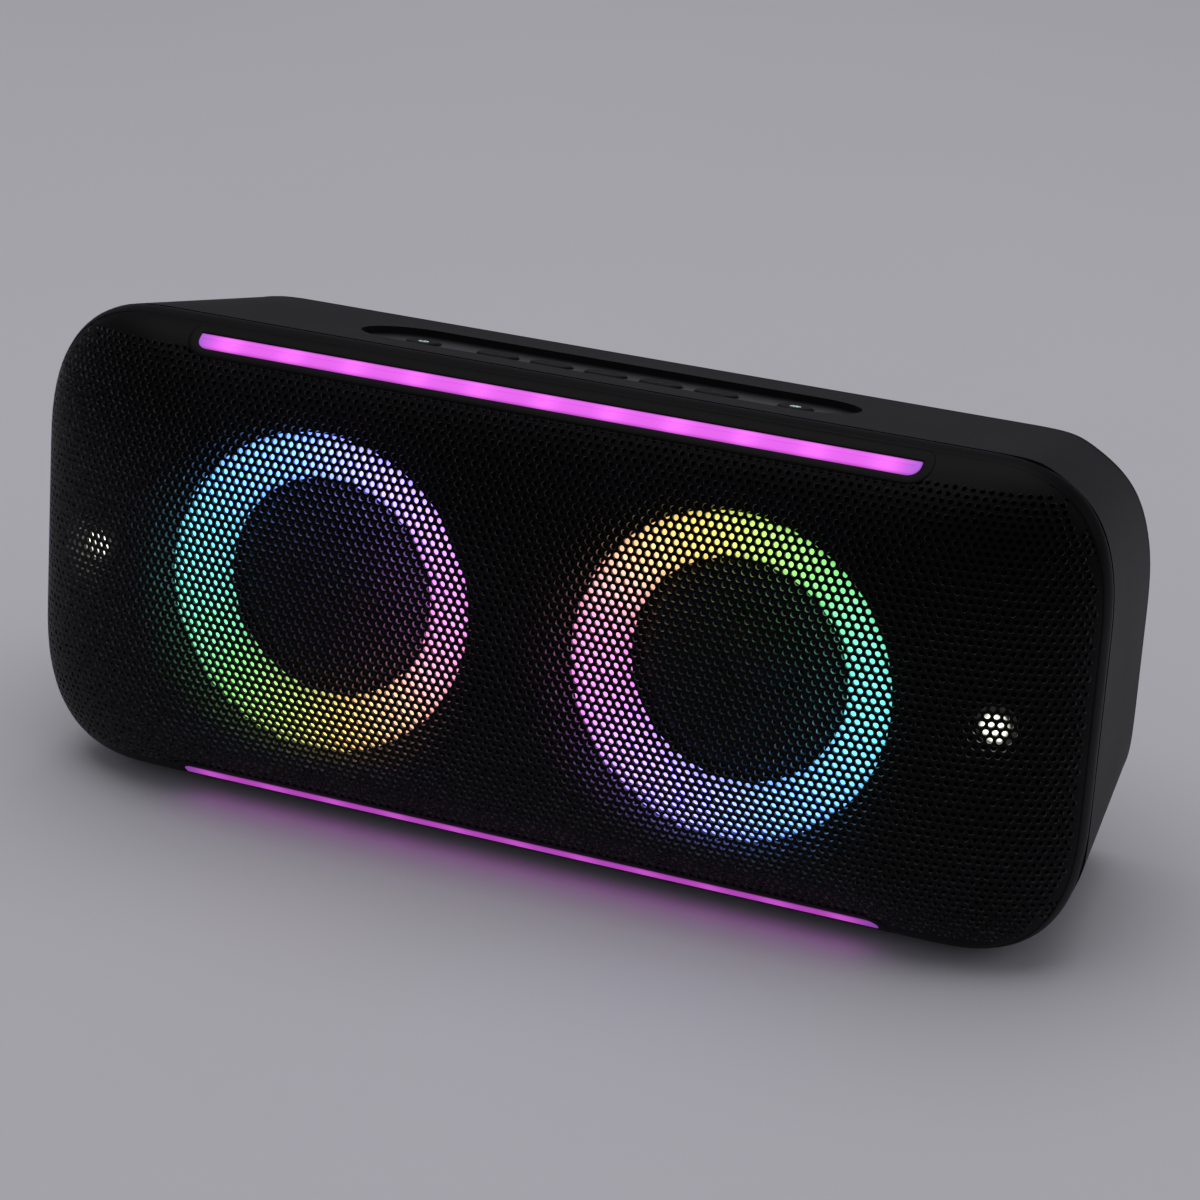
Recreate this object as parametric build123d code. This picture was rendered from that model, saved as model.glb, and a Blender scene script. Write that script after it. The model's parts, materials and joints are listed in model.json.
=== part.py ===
from build123d import *
from math import atan2, cos, degrees, pi, radians, sin
import os

# Portable party speaker: a bowed perforated front over two woofers with light rings,
# light bars along the top and bottom edges, a tapered housing, a control deck on top
# and a sealed socket panel behind.
#
# The parts are drawn in the cabinet's own frame: X to the right, Y backwards from the
# crown of the grille, Z up the face. The whole cabinet then leans back on its tapered
# bottom, and stands with its feet on Z = 0.

# ---------------------------------------------------------------- driving dimensions
SEAM_HALF_W = 191.0          # cabinet half width where grille and housing meet
SEAM_HALF_H = 82.5           # cabinet half height there
SEAM_DEPTH = 34.0            # crown of the grille to that seam
SEAM_GAP = 0.8               # width of the groove between grille and housing
SEAM_RECESS = 1.5            # how far the rim in the groove lies under the surface
CORNER_W = 45.0              # run of the soft corners at the seam
CORNER_H = 54.0
CORNER_POWER = 2.65          # superellipse power of the corners
ROLL_W = 90.0                # how far in from the sides the grille keeps curving
ROLL_H = 63.0                # how far in from the top and bottom
CROWN_CORNER_W = 30.0        # corner run of the flat crown of the grille
CROWN_CORNER_H = 15.0
CROWN_TURNS = (0, 15, 30, 45, 60, 75, 90)

BACK_HALF_W = 182.0          # cabinet at the start of the rounded back edge
BACK_HALF_H = 72.0
BACK_DEPTH = 110.0
BACK_CORNER_W = 48.0
BACK_CORNER_H = 57.0
BACK_ROUND = 6.5             # radius of the rounded back edge
WALL = 3.0                   # housing wall
COVER_GAP = 0.1              # hairline between the housing and its rear cover
COVER_LIP = 7.5              # how far the cover's lip reaches from its plate into the housing
COVER_LIP_T = 1.8
TAPER = atan2(SEAM_HALF_H - BACK_HALF_H, BACK_DEPTH - SEAM_DEPTH)
TOTAL_DEPTH = BACK_DEPTH + BACK_ROUND

GRILLE_T = 1.2               # perforated steel sheet
FIT = 0.3                    # gap between parts that only meet loosely
CUT = 1.0                    # how far a cutting shape overshoots what it cuts
BOARD_T = 1.6                # circuit boards
LAMP = 4.4                   # square lamps on the strips and ring boards
LAMP_H = 1.4
SCREW_R = 1.45               # all screws, their heads, and their holes
HEAD_R = 3.2
PILOT_R = 1.5
CLEAR_R = 1.9
SCREW_SINK = 2.0             # how far the woofers' screws enter the baffle
TIP_GAP = 0.2
HEAD_H = 2.0

BAFFLE_FRONT = 24.0          # front baffle plate
BAFFLE_T = 3.0
BAFFLE_HALF_W = 185.0
BAFFLE_HALF_H = 77.4
SKIRT_T = 2.5                # skirt that enters the housing
SKIRT_END = 42.0
PILLAR_R = 4.5               # screw pillars from the baffle to the rear cover
PILOT_DEPTH = 14.0
COVER_SCREW_L = 13.0
COVER_HEAD_H = 1.7
SEAT_R = 3.7                 # seats of the screw heads in the cover
SEAT_DEPTH = 2.0
PILLARS = ((-163.0, 44.0), (-163.0, -44.0), (163.0, 44.0), (163.0, -44.0),
           (-44.0, 50.0), (44.0, 50.0), (-80.0, -52.0), (80.0, -52.0))

DRIVER_X = 74.0              # centre of each woofer and light ring
DRIVER_HOLE_R = 38.2
RING_OUT_R = 55.1            # light ring, outer and inner edge and their depths
RING_IN_R = 38.1
RING_OUT_Y = 10.1
RING_IN_Y = 17.2
RING_T = 3.2
WELL_R = 60.0                # raised well of the baffle round each ring
WELL_FRONT = 10.6
RING_FIT = 0.2
COLLAR_R = 40.4              # collar of the baffle inside each ring
COLLAR_FRONT = 21.0
RING_BOARD_Y = 22.2          # board behind each ring and its circle of lamps
RING_BOARD_IN_R = 41.0
RING_BOARD_OUT_R = 54.6
RING_LAMP_R = 48.0
RING_LEDS = 24

BAR_HALF_L = 128.3           # light bar lens
BAR_W = 6.4
BAR_T = 3.6
BAR_Y = 19.7
BAR_Z = 77.0
BAR_TILT = 50.8              # degrees its face is turned up from the front
BAR_ROUND = 1.92
BAR_LEDS = 11
SLOT_DEPTH = 24.0
STRIP_W = 5.0                # lamp strip, its distance behind the lens and short ends
STRIP_T = 1.2
STRIP_BEHIND = 2.6
STRIP_SHORT = 3.0
CHANNEL_END = 1.0            # room in the baffle past the lens's ends and sides
CHANNEL_SIDE = 0.7
CHANNEL_OVER = 1.6           # in front of the lens's face and behind its back
CHANNEL_BEHIND = 4.8

STROBE_X = 162.0             # strobe lamps at the two ends
STROBE_R = 6.8
STROBE_FRONT = 13.6
STROBE_FACE_R = 5.2          # bevelled face of its lens
STROBE_FACE_Y = 0.8
STROBE_EDGE_Y = 2.4
STROBE_LENS_T = 4.0
STROBE_HOLE_R = 3.6
CUP_T = 1.0
STROBE_BOARD = 20.0
STROBE_LAMP_R = 2.4
STROBE_LAMP_PROUD = 0.6

FLANGE_R = 46.5              # woofer
FLANGE_Y = 28.0
FLANGE_T = 2.5
SURROUND_T = 1.0             # surround's feet, and how far they end from the flange's edge
SURROUND_EDGE = 1.0
ROLL_MID_R = 34.2            # middle of the surround's half roll
ROLL_R = 2.7
ROLL_T = 0.9
ROLL_STEPS = 10
CONE_R = 30.0
CONE_FRONT = 26.9
CONE_EDGE_T = 1.0
CONE_BACK = 43.0
CONE_NECK = 0.2
CAP_R = 14.4                 # dust cap
CAP_RISE = 4.6
CAP_AHEAD = 1.9
CAP_STEPS = 6
COIL_IN_R = 12.2
COIL_OUT_R = 12.8
COIL_END = 60.0
CONE_T = 0.8
POLE_R = 11.8
GAP_R = 13.2
SPIDER_R = 26.4
SPIDER_Y = 47.6
SPIDER_T = 0.6
SPIDER_WAVES = 3
BASKET_IN_R = 36.8           # basket at its flange, at its back and round the coil
BASKET_BACK_R = 27.0
BASKET_NECK_R = 14.6
BASKET_T = 2.0
BASKET_SLOPE_T = 1.6
BASKET_BACK = 50.0
WINDOWS = 6
WINDOW_R = 33.0
WINDOW_Y = 40.5
WINDOW_SIZE = (22.0, 13.0, 20.0)
MAGNET_R = 30.0              # ferrite ring between two plates
PLATE_R = 27.5
PLATE_T = 4.0
FERRITE_T = 12.0
FERRITE_IN_R = 16.0
DRIVER_SCREW_R = 42.4        # pitch radius of the four screws
DRIVER_SCREWS = 4

DECK_L = 180.0               # control deck window in the top
DECK_W = 38.0
DECK_Y = 69.0                # depth of its centre behind the crown
DECK_SINK = 2.3              # deck face below the surface round it
DECK_T = 2.2
DECK_LIP = 3.0
LIP_GAP = 0.1
DECK_CUT = 12.0              # cutters through the deck, and how deep they start
DECK_CUT_DROP = 9.0
KEY_PITCH = 20.0             # seven keys in a row
KEYS = ("bluetooth", "volume_down", "play", "volume_up", "bass")
KEY_L = 15.0
KEY_W = 9.0
END_KEY_R = 6.0
END_KEY_X = 68.0
KEY_PROUD = 0.9
KEY_ROUND = 0.6
CATCH = 1.2                  # catch of a key under the deck
CATCH_T = 0.8
STEM_R = 1.6
STEM_L = 0.6
DECK_BOARD_DROP = 7.4        # top of the switches on the deck's board
DECK_BOARD = (160.0, 26.0, 3.0)
SWITCH = 6.0
SWITCH_H = 1.7

POCKET_L = 118.0             # socket pocket in the back
POCKET_H = 27.0
POCKET_Z = -50.0
POCKET_DEPTH = 16.0
POCKET_ROUND = 0.3           # its corner radius as a share of its height
TRAY_T = 2.0                 # wall of the socket tray above and below the pocket
TRAY_FIT = 0.1
TRAY_FLANGE = 1.0
TRAY_FLANGE_T = 2.0
PANEL_T = 2.0                # socket panel, its flange behind, and the holes round the sockets
PANEL_EDGE = 1.0
SOCKET_GAP = 0.1
FLAP_T = 2.4                 # flap, its gaps to the pocket and how far it lies under the back
FLAP_FIT = 0.6
FLAP_SINK = 0.2
FLAP_LOW = 2.6               # how far above the hinge its full width starts
TONGUE_L = 86.0
TONGUE_DROP = 0.8
TONGUE_H = 2.2
HINGE_R = 1.3                # flap hinge pin and the lugs at its ends
HINGE_HALF_L = 48.0
HINGE_UP = 1.1
HINGE_IN = 0.9
PIN_FIT = 0.02
BARREL_FIT = 0.05
BARREL_X = 30.0
BARREL_L = 24.0
BARREL_T = 0.9
BARREL_WEB = (24.0, 1.6, 2.4)
BARREL_WEB_Y = 0.2
BARREL_WEB_Z = 1.6
LUG_X = 46.0
LUG_SIZE = (4.0, 3.6, 4.8)
LUG_DROP = 0.5
AUX_R = 1.8
AUX_DEPTH = 14.0
MIC_R = 3.25
MIC_DEPTH = 22.0
DC_R = 2.8
DC_DEPTH = 9.0
DC_PIN_R = 1.0
DC_PIN_SINK = 1.0
COLLAR_PROUD = 0.4           # socket collars in front of the panel
SOCKET_BACK = 4.2            # start of the socket bodies behind the panel's face
SOCKET_END = 2.0
SOCKETS = {"mic": (5.5, 7.0), "aux": (3.5, 4.5), "dc": (4.5, 5.0)}
USB_SHELL = (14.6, 14.0, 7.0)
USB_ROOM = (13.1, 12.2, 5.7)
USB_TONGUE = (11.0, 9.6, 1.8)
USB_TONGUE_IN = 7.0
USB_TONGUE_UP = 1.2
USB_PROUD = 0.3
USB_MOUTH = 0.1
USB_FIT = 0.3
SOCKET_X = {"mic": -40.0, "aux": -18.0, "usb": 8.0, "dc": 38.0}

PORT_R = 17.0                # bass port
PORT_T = 2.0
PORT_L = 62.0
PORT_Z = 26.0
PORT_FLARE = 6.0
PORT_SINK = 0.2
PORT_RIM = 2.4               # lip of the flare and the cone behind it
PORT_CONE_R = 2.0
PORT_CONE_Y = 4.0
PORT_NECK_Y = 7.0
PORT_STEPS = 5

FOOT_R = 9.0
FOOT_T = 3.0
FOOT_SINK = 1.0
FOOT_FIT = 0.1
FOOT_BEVEL = 0.6
FEET = {"front_left": (-118.0, 52.0), "front_right": (118.0, 52.0),
        "rear_left": (-118.0, 98.0), "rear_right": (118.0, 98.0)}

MAIN_BOARD = (150.0, 40.0, BOARD_T)
MAIN_BOARD_AT = (0.0, 76.0, -60.2)
TALL_PARTS = (((-60.0, 84.0, -55.0), (14.0, 16.0, 9.0)), ((60.0, 82.0, -54.4), (14.0, 20.0, 10.0)))
CAPACITORS_X = (-20.0, 0.0, 20.0)
CAPACITOR_AT = (62.0, -59.4)
CAPACITOR_R = 4.0
CAPACITOR_H = 11.0
HEATSINK_AT = (66.5, -36.0)  # depth and height of its base plate's centre
HEATSINK = (60.0, 3.0, 22.0)
FINS = 9
FIN_PITCH = 7.0
FIN_T = 1.6
FIN_L = 7.0
BATTERY_AT = (-150.0, 72.0, 0.0)
BATTERY = (38.0, 60.0, 72.0)
BATTERY_ROUND = 6.0
STRAP = (43.0, 14.0, 77.0)   # strap round the battery and the room inside it
STRAP_ROOM = (38.6, 20.0, 72.6)

SIDES = {"left": -1, "right": 1}


# ---------------------------------------------------------------- shared shapes
def soft_face(half_w, half_h, corner_w, corner_h, depth):
    """Face across the cabinet with straight sides and soft corners, at one depth."""
    steps = [radians(a) for a in (0, 22.5, 45, 67.5, 90)]
    power = 2 / CORNER_POWER

    def corner(side, up):
        return [(side * (half_w - corner_w + corner_w * cos(t) ** power),
                 up * (half_h - corner_h + corner_h * sin(t) ** power)) for t in steps]

    corners = [corner(1, 1), corner(-1, 1)[::-1], corner(-1, -1), corner(1, -1)[::-1]]
    ways = [((0, 1), (-1, 0)), ((-1, 0), (0, -1)), ((0, -1), (1, 0)), ((1, 0), (0, 1))]
    edges = []
    for i, points in enumerate(corners):
        edges.append(Spline(*points, tangents=ways[i]))
        edges.append(Line(points[-1], corners[(i + 1) % 4][0]))
    return Plane.XZ.offset(-depth) * make_face(edges)


def crowned_body(inset):
    """Solid crowned front from the seam forwards, shrunk all round by an inset."""
    sections = []
    for turn in CROWN_TURNS:
        inward = 1 - cos(radians(turn))
        sections.append(soft_face(
            SEAM_HALF_W - inset - ROLL_W * inward,
            SEAM_HALF_H - inset - ROLL_H * inward,
            CORNER_W + (CROWN_CORNER_W - CORNER_W) * inward,
            CORNER_H + (CROWN_CORNER_H - CORNER_H) * inward,
            SEAM_DEPTH - SEAM_GAP / 2 - (SEAM_DEPTH - SEAM_GAP / 2 - inset) * sin(radians(turn))))
    return loft(sections)


def tapered_body(inset, front, back):
    """Solid of the tapered housing between two depths, shrunk all round by an inset."""
    faces = []
    for depth in (front, back):
        along = (depth - SEAM_DEPTH) / (BACK_DEPTH - SEAM_DEPTH)
        faces.append(soft_face(
            SEAM_HALF_W - inset + (BACK_HALF_W - SEAM_HALF_W) * along,
            SEAM_HALF_H - inset + (BACK_HALF_H - SEAM_HALF_H) * along,
            CORNER_W + (BACK_CORNER_W - CORNER_W) * along,
            CORNER_H + (BACK_CORNER_H - CORNER_H) * along,
            depth))
    return loft(faces, ruled=True)


def turned(points, x, z):
    """Ring turned about a driver's axis from its (radius, depth) outline."""
    outline = make_face(Polyline(*points, close=True))
    ring = revolve(outline, Axis.Y, 360)
    return Pos(x, 0, z) * ring


def rod(x, z, front, back, radius):
    """Round rod along the cabinet's depth."""
    return Plane(origin=(x, front, z), z_dir=(0, 1, 0)) * extrude(Circle(radius), back - front)


def block(x, y, z, length, depth, height):
    """Box by its centre and sizes."""
    return Pos(x, y, z) * Box(length, depth, height)


TOP_PLANE = Plane(
    origin=(0, DECK_Y, SEAM_HALF_H - (DECK_Y - SEAM_DEPTH) * sin(TAPER) / cos(TAPER)),
    x_dir=(1, 0, 0), z_dir=(0, sin(TAPER), cos(TAPER)))


def on_deck(shape, drop):
    """Place a shape on the deck's plane, a distance below the housing's surface."""
    return TOP_PLANE * (Pos(0, 0, -drop) * shape)


# ---------------------------------------------------------------- front
def bar_frame(side):
    """Plane on a light bar's face; side is 1 for the top bar and -1 for the bottom."""
    tilt = radians(BAR_TILT)
    return Plane(origin=(0, BAR_Y, side * BAR_Z), x_dir=(1, 0, 0),
                 z_dir=(0, -cos(tilt), side * sin(tilt)))


def light_bar(side, grow=0.0):
    """Lens of one light bar, or the slot that it fits when grown."""
    lens = Box(2 * (BAR_HALF_L + grow), BAR_W + 2 * grow, BAR_T + 2 * grow)
    if grow == 0.0:
        lens = fillet(lens.edges().filter_by(Axis.Z), BAR_ROUND)
    return bar_frame(side) * (Pos(0, 0, -BAR_T / 2) * lens)


def led_strip(side):
    """Lamp strip behind a light bar."""
    face = -BAR_T - STRIP_BEHIND
    strip = Pos(0, 0, face - STRIP_T / 2) * Box(2 * (BAR_HALF_L - STRIP_SHORT), STRIP_W, STRIP_T)
    pitch = 2 * BAR_HALF_L / BAR_LEDS
    for i in range(BAR_LEDS):
        x = (i - (BAR_LEDS - 1) / 2) * pitch
        strip += Pos(x, 0, face + LAMP_H / 2) * Box(LAMP, LAMP, LAMP_H)
    return bar_frame(side) * strip


def bar_channel(side):
    """Room in the baffle for a light bar and its strip."""
    front, back = CHANNEL_OVER, -BAR_T - CHANNEL_BEHIND
    channel = Box(2 * (BAR_HALF_L + CHANNEL_END), BAR_W + 2 * CHANNEL_SIDE, front - back)
    return bar_frame(side) * (Pos(0, 0, (front + back) / 2) * channel)


def front_grille():
    """Crowned grille shell with a slot for each light bar."""
    shell = crowned_body(0.0) - crowned_body(GRILLE_T)
    for side in (1, -1):
        slot = Box(2 * (BAR_HALF_L + FIT), BAR_W + 2 * FIT, SLOT_DEPTH)
        shell -= bar_frame(side) * slot
    return shell


def light_ring(x):
    """Dished light guide round a woofer."""
    back = RING_T / cos(atan2(RING_IN_Y - RING_OUT_Y, RING_OUT_R - RING_IN_R))
    return turned([(RING_IN_R, RING_IN_Y), (RING_OUT_R, RING_OUT_Y),
                   (RING_OUT_R, RING_OUT_Y + back), (RING_IN_R, RING_IN_Y + back)], x, 0)


def ring_board(x):
    """Ring of lamps behind a light ring."""
    board = turned([(RING_BOARD_IN_R, RING_BOARD_Y), (RING_BOARD_OUT_R, RING_BOARD_Y),
                    (RING_BOARD_OUT_R, BAFFLE_FRONT), (RING_BOARD_IN_R, BAFFLE_FRONT)], x, 0)
    for i in range(RING_LEDS):
        angle = 2 * pi * i / RING_LEDS
        lamp = block(RING_LAMP_R, RING_BOARD_Y - LAMP_H / 2, 0, LAMP, LAMP_H, LAMP)
        board += Pos(x, 0, 0) * (Rot(0, degrees(angle), 0) * lamp)
    return board


def strobe_lens(x):
    """Clear lens of a strobe lamp."""
    back = STROBE_FRONT + STROBE_LENS_T
    return turned([(0, STROBE_FRONT), (STROBE_FACE_R, STROBE_FRONT + STROBE_FACE_Y),
                   (STROBE_R, STROBE_FRONT + STROBE_EDGE_Y), (STROBE_R, back), (0, back)], x, 0)


def strobe_cup(x):
    """Reflector cup between a strobe's lens and its board."""
    lip = STROBE_FRONT + STROBE_LENS_T
    return turned([(STROBE_R - CUP_T, lip), (STROBE_R, lip), (STROBE_R, BAFFLE_FRONT),
                   (STROBE_HOLE_R, BAFFLE_FRONT), (STROBE_HOLE_R, BAFFLE_FRONT - CUP_T)], x, 0)


def strobe_board(x):
    """Board and lamp of a strobe, behind the baffle."""
    back = BAFFLE_FRONT + BAFFLE_T
    board = block(x, back + BOARD_T / 2, 0, STROBE_BOARD, BOARD_T, STROBE_BOARD)
    return board + rod(x, 0, BAFFLE_FRONT - STROBE_LAMP_PROUD, back, STROBE_LAMP_R)


def front_baffle():
    """Baffle plate with its skirt, rim, wells and collars, which carries everything in the front."""
    back = BAFFLE_FRONT + BAFFLE_T
    plate = extrude(soft_face(BAFFLE_HALF_W, BAFFLE_HALF_H, CORNER_W, CORNER_H, BAFFLE_FRONT), -BAFFLE_T)
    outer = extrude(soft_face(BAFFLE_HALF_W, BAFFLE_HALF_H, CORNER_W, CORNER_H, back), back - SKIRT_END)
    inner = extrude(soft_face(BAFFLE_HALF_W - SKIRT_T, BAFFLE_HALF_H - SKIRT_T, CORNER_W, CORNER_H, back),
                    back - SKIRT_END)
    rim_face = soft_face(SEAM_HALF_W - SEAM_RECESS, SEAM_HALF_H - SEAM_RECESS, CORNER_W, CORNER_H,
                         SEAM_DEPTH - SEAM_GAP / 2)
    rim_hole = soft_face(BAFFLE_HALF_W - SKIRT_T, BAFFLE_HALF_H - SKIRT_T, CORNER_W, CORNER_H,
                         SEAM_DEPTH - SEAM_GAP / 2)
    baffle = plate + (outer - inner)
    baffle += extrude(rim_face, -SEAM_GAP) - extrude(rim_hole, -SEAM_GAP)
    for sign in SIDES.values():
        x = sign * DRIVER_X
        baffle += turned([(RING_OUT_R + RING_FIT, WELL_FRONT), (WELL_R, WELL_FRONT),
                          (WELL_R, BAFFLE_FRONT), (RING_OUT_R + RING_FIT, BAFFLE_FRONT)], x, 0)
        baffle += turned([(DRIVER_HOLE_R, COLLAR_FRONT), (COLLAR_R, COLLAR_FRONT),
                          (COLLAR_R, BAFFLE_FRONT), (DRIVER_HOLE_R, BAFFLE_FRONT)], x, 0)
        baffle -= rod(x, 0, COLLAR_FRONT - CUT, back + CUT, DRIVER_HOLE_R)
        for sx, sz in driver_screw_places(x):
            baffle -= rod(sx, sz, back - SCREW_SINK - TIP_GAP, back + CUT, PILOT_R)
        baffle -= rod(sign * STROBE_X, 0, BAFFLE_FRONT - CUT, back + CUT, STROBE_HOLE_R)
    for side in (1, -1):
        baffle -= bar_channel(side)
    return baffle


# ---------------------------------------------------------------- woofers
def driver_screw_places(x):
    """Centres of a woofer's screws."""
    places = []
    for i in range(DRIVER_SCREWS):
        angle = pi / 4 + 2 * pi * i / DRIVER_SCREWS
        places.append((x + DRIVER_SCREW_R * cos(angle), DRIVER_SCREW_R * sin(angle)))
    return places


def surround(x):
    """Rubber half roll with its outer foot on the basket's flange."""
    front = FLANGE_Y - SURROUND_T
    base = front + SURROUND_T / 2
    steps = [pi * i / ROLL_STEPS for i in range(ROLL_STEPS + 1)]
    outer = [(ROLL_MID_R - ROLL_R * cos(a), base - ROLL_R * sin(a)) for a in steps]
    hollow = ROLL_R - ROLL_T
    inner = [(ROLL_MID_R + hollow * cos(a), base - hollow * sin(a)) for a in steps]
    roll = turned(outer + inner, x, 0)
    near, far = ROLL_MID_R - hollow, ROLL_MID_R + hollow
    rim = CONE_R + FIT
    inner_foot = turned([(rim, front), (near, front), (near, FLANGE_Y), (rim, FLANGE_Y)], x, 0)
    edge = FLANGE_R - SURROUND_EDGE
    outer_foot = turned([(far, front), (edge, front), (edge, FLANGE_Y), (far, FLANGE_Y)], x, 0)
    for sx, sz in driver_screw_places(x):
        outer_foot -= rod(sx, sz, front - CUT, FLANGE_Y + CUT, CLEAR_R)
    return roll + inner_foot + outer_foot


def cone(x):
    """Moving cone down to its neck on the voice coil."""
    return turned([(CONE_R, CONE_FRONT), (CONE_R, CONE_FRONT + CONE_EDGE_T),
                   (COIL_OUT_R, CONE_BACK + CONE_T), (COIL_OUT_R, CONE_BACK - CONE_NECK)], x, 0)


def dust_cap(x):
    """Domed cap over the coil."""
    base = CONE_BACK - CAP_AHEAD
    steps = [pi / 2 * i / CAP_STEPS for i in range(CAP_STEPS + 1)]
    radius, rise = CAP_R - CONE_T, CAP_RISE - CONE_T
    outer = [(CAP_R * sin(a), base - CAP_RISE * cos(a)) for a in steps]
    inner = [(radius * sin(a), base - rise * cos(a)) for a in steps]
    return turned(outer + inner[::-1], x, 0)


def voice_coil(x):
    """Thin former with its winding in the magnet's gap."""
    return turned([(COIL_IN_R, CONE_BACK), (COIL_OUT_R, CONE_BACK), (COIL_OUT_R, COIL_END),
                   (COIL_IN_R, COIL_END)], x, 0)


def spider(x):
    """Corrugated centring disc."""
    inner_r = COIL_OUT_R + FIT
    count = SPIDER_WAVES * 4
    front = []
    for i in range(count + 1):
        ripple = SPIDER_T * sin(2 * pi * SPIDER_WAVES * i / count)
        front.append((inner_r + (SPIDER_R - inner_r) * i / count, SPIDER_Y - ripple))
    back = [(r, y + SPIDER_T) for r, y in front[::-1]]
    return turned(front + back, x, 0)


def basket(x):
    """Pressed frame of a woofer with its windows."""
    end = FLANGE_Y + FLANGE_T
    back = BASKET_BACK + BASKET_T
    outside = [(BASKET_IN_R, FLANGE_Y), (FLANGE_R, FLANGE_Y), (FLANGE_R, end), (BASKET_IN_R + BASKET_T, end)]
    bottom = [(BASKET_BACK_R + BASKET_SLOPE_T, back), (BASKET_NECK_R, back), (BASKET_NECK_R, BASKET_BACK)]
    frame = turned(outside + bottom + [(BASKET_BACK_R, BASKET_BACK), (BASKET_IN_R, end)], x, 0)
    for i in range(WINDOWS):
        window = block(WINDOW_R, WINDOW_Y, 0, *WINDOW_SIZE)
        frame -= Pos(x, 0, 0) * (Rot(0, degrees(2 * pi * i / WINDOWS), 0) * window)
    for sx, sz in driver_screw_places(x):
        frame -= rod(sx, sz, FLANGE_Y - CUT, end + CUT, CLEAR_R)
    return frame


def magnet(x):
    """Top plate, ferrite ring and back plate with the pole piece."""
    top = BASKET_BACK + BASKET_T
    ring = top + PLATE_T
    plate = ring + FERRITE_T
    end = plate + PLATE_T
    return turned([(GAP_R, top), (PLATE_R, top), (PLATE_R, ring), (MAGNET_R, ring), (MAGNET_R, plate),
                   (PLATE_R, plate), (PLATE_R, end), (0, end), (0, top), (POLE_R, top), (POLE_R, plate),
                   (FERRITE_IN_R, plate), (FERRITE_IN_R, ring), (GAP_R, ring)], x, 0)


def driver_screws():
    """Eight screws that hold the woofers to the baffle."""
    screws = []
    head = FLANGE_Y + FLANGE_T
    tip = BAFFLE_FRONT + BAFFLE_T - SCREW_SINK
    for sign in SIDES.values():
        for x, z in driver_screw_places(sign * DRIVER_X):
            screws.append(rod(x, z, tip, head, SCREW_R) + rod(x, z, head, head + HEAD_H, HEAD_R))
    return Compound(children=screws)


# ---------------------------------------------------------------- housing
def housing_inner_back():
    """Depth of the inside face of the housing's back."""
    return TOTAL_DEPTH - WALL


def pocket_box(length, height, front, back):
    """Rounded block at the socket pocket between two depths."""
    shape = extrude(RectangleRounded(length, height, height * POCKET_ROUND), back - front)
    return Plane(origin=(0, front, POCKET_Z), x_dir=(1, 0, 0), z_dir=(0, 1, 0)) * shape


def rear_housing():
    """Tapered tube with the deck window in its top and the seats of the feet."""
    front = SEAM_DEPTH + SEAM_GAP / 2
    body = tapered_body(0.0, front, BACK_DEPTH) - tapered_body(WALL, front - CUT, BACK_DEPTH + CUT)
    body -= on_deck(extrude(SlotOverall(DECK_L, DECK_W), DECK_CUT), DECK_CUT_DROP)
    for x, y in FEET.values():
        body -= foot_frame(x, y) * (Pos(0, 0, -FOOT_SINK) * extrude(Circle(FOOT_R + FOOT_FIT), FOOT_T))
    return body


def across(inset, front, back):
    """Straight block with the outline of the housing's back end, shrunk by an inset."""
    face = soft_face(BACK_HALF_W - inset, BACK_HALF_H - inset, BACK_CORNER_W, BACK_CORNER_H, front)
    return extrude(face, front - back)


def rear_cover():
    """Cover with a rounded edge, holes for the tray, port and screws, and a lip that enters the housing."""
    rounds = []
    for turn in (0, 30, 60, 90):
        inward = BACK_ROUND * (1 - cos(radians(turn)))
        depth = BACK_DEPTH + COVER_GAP + (BACK_ROUND - COVER_GAP) * sin(radians(turn))
        rounds.append(soft_face(BACK_HALF_W - inward, BACK_HALF_H - inward, BACK_CORNER_W - inward,
                                BACK_CORNER_H - inward, depth))
    inside = housing_inner_back()
    cover = loft(rounds) - across(WALL, BACK_DEPTH - CUT, inside)
    front, end = inside - COVER_LIP, TOTAL_DEPTH + CUT
    lip = across(WALL + FIT, front, inside + WALL / 2)
    cover += lip - across(WALL + FIT + COVER_LIP_T, front - CUT, inside)
    cover -= tray_block(TRAY_FIT, inside - CUT, end)
    cover -= rod(0, PORT_Z, inside - CUT, end, PORT_R + PORT_T + PORT_FLARE)
    for x, z in PILLARS:
        cover -= rod(x, z, TOTAL_DEPTH - SEAT_DEPTH, end, SEAT_R)
        cover -= rod(x, z, inside - CUT, TOTAL_DEPTH, CLEAR_R)
    return cover


def tray_block(grow, front, back):
    """Outside of the socket tray between two depths, grown by a gap."""
    return pocket_box(POCKET_L + 2 * (WALL + grow), POCKET_H + 2 * (TRAY_T + grow), front, back)


def socket_tray():
    """Frame round the sockets, with a flange behind the cover and the lugs of the flap's pin."""
    floor = TOTAL_DEPTH - POCKET_DEPTH
    inside = housing_inner_back()
    tray = tray_block(0.0, floor, TOTAL_DEPTH) + tray_block(TRAY_FLANGE, inside - TRAY_FLANGE_T, inside)
    tray -= pocket_box(POCKET_L, POCKET_H, floor - CUT, TOTAL_DEPTH + CUT)
    for x in (-LUG_X, LUG_X):
        tray += block(x, hinge_axis_y(), hinge_axis_z() - LUG_DROP, *LUG_SIZE)
    return tray - hinge_rod(HINGE_HALF_L + TRAY_FIT, HINGE_R + PIN_FIT)


def foot_frame(x, y):
    """Plane on the bottom of the housing, facing out, at one foot."""
    z = -SEAM_HALF_H + (y - SEAM_DEPTH) * sin(TAPER) / cos(TAPER)
    return Plane(origin=(x, y, z), x_dir=(1, 0, 0), z_dir=(0, sin(TAPER), -cos(TAPER)))


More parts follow.
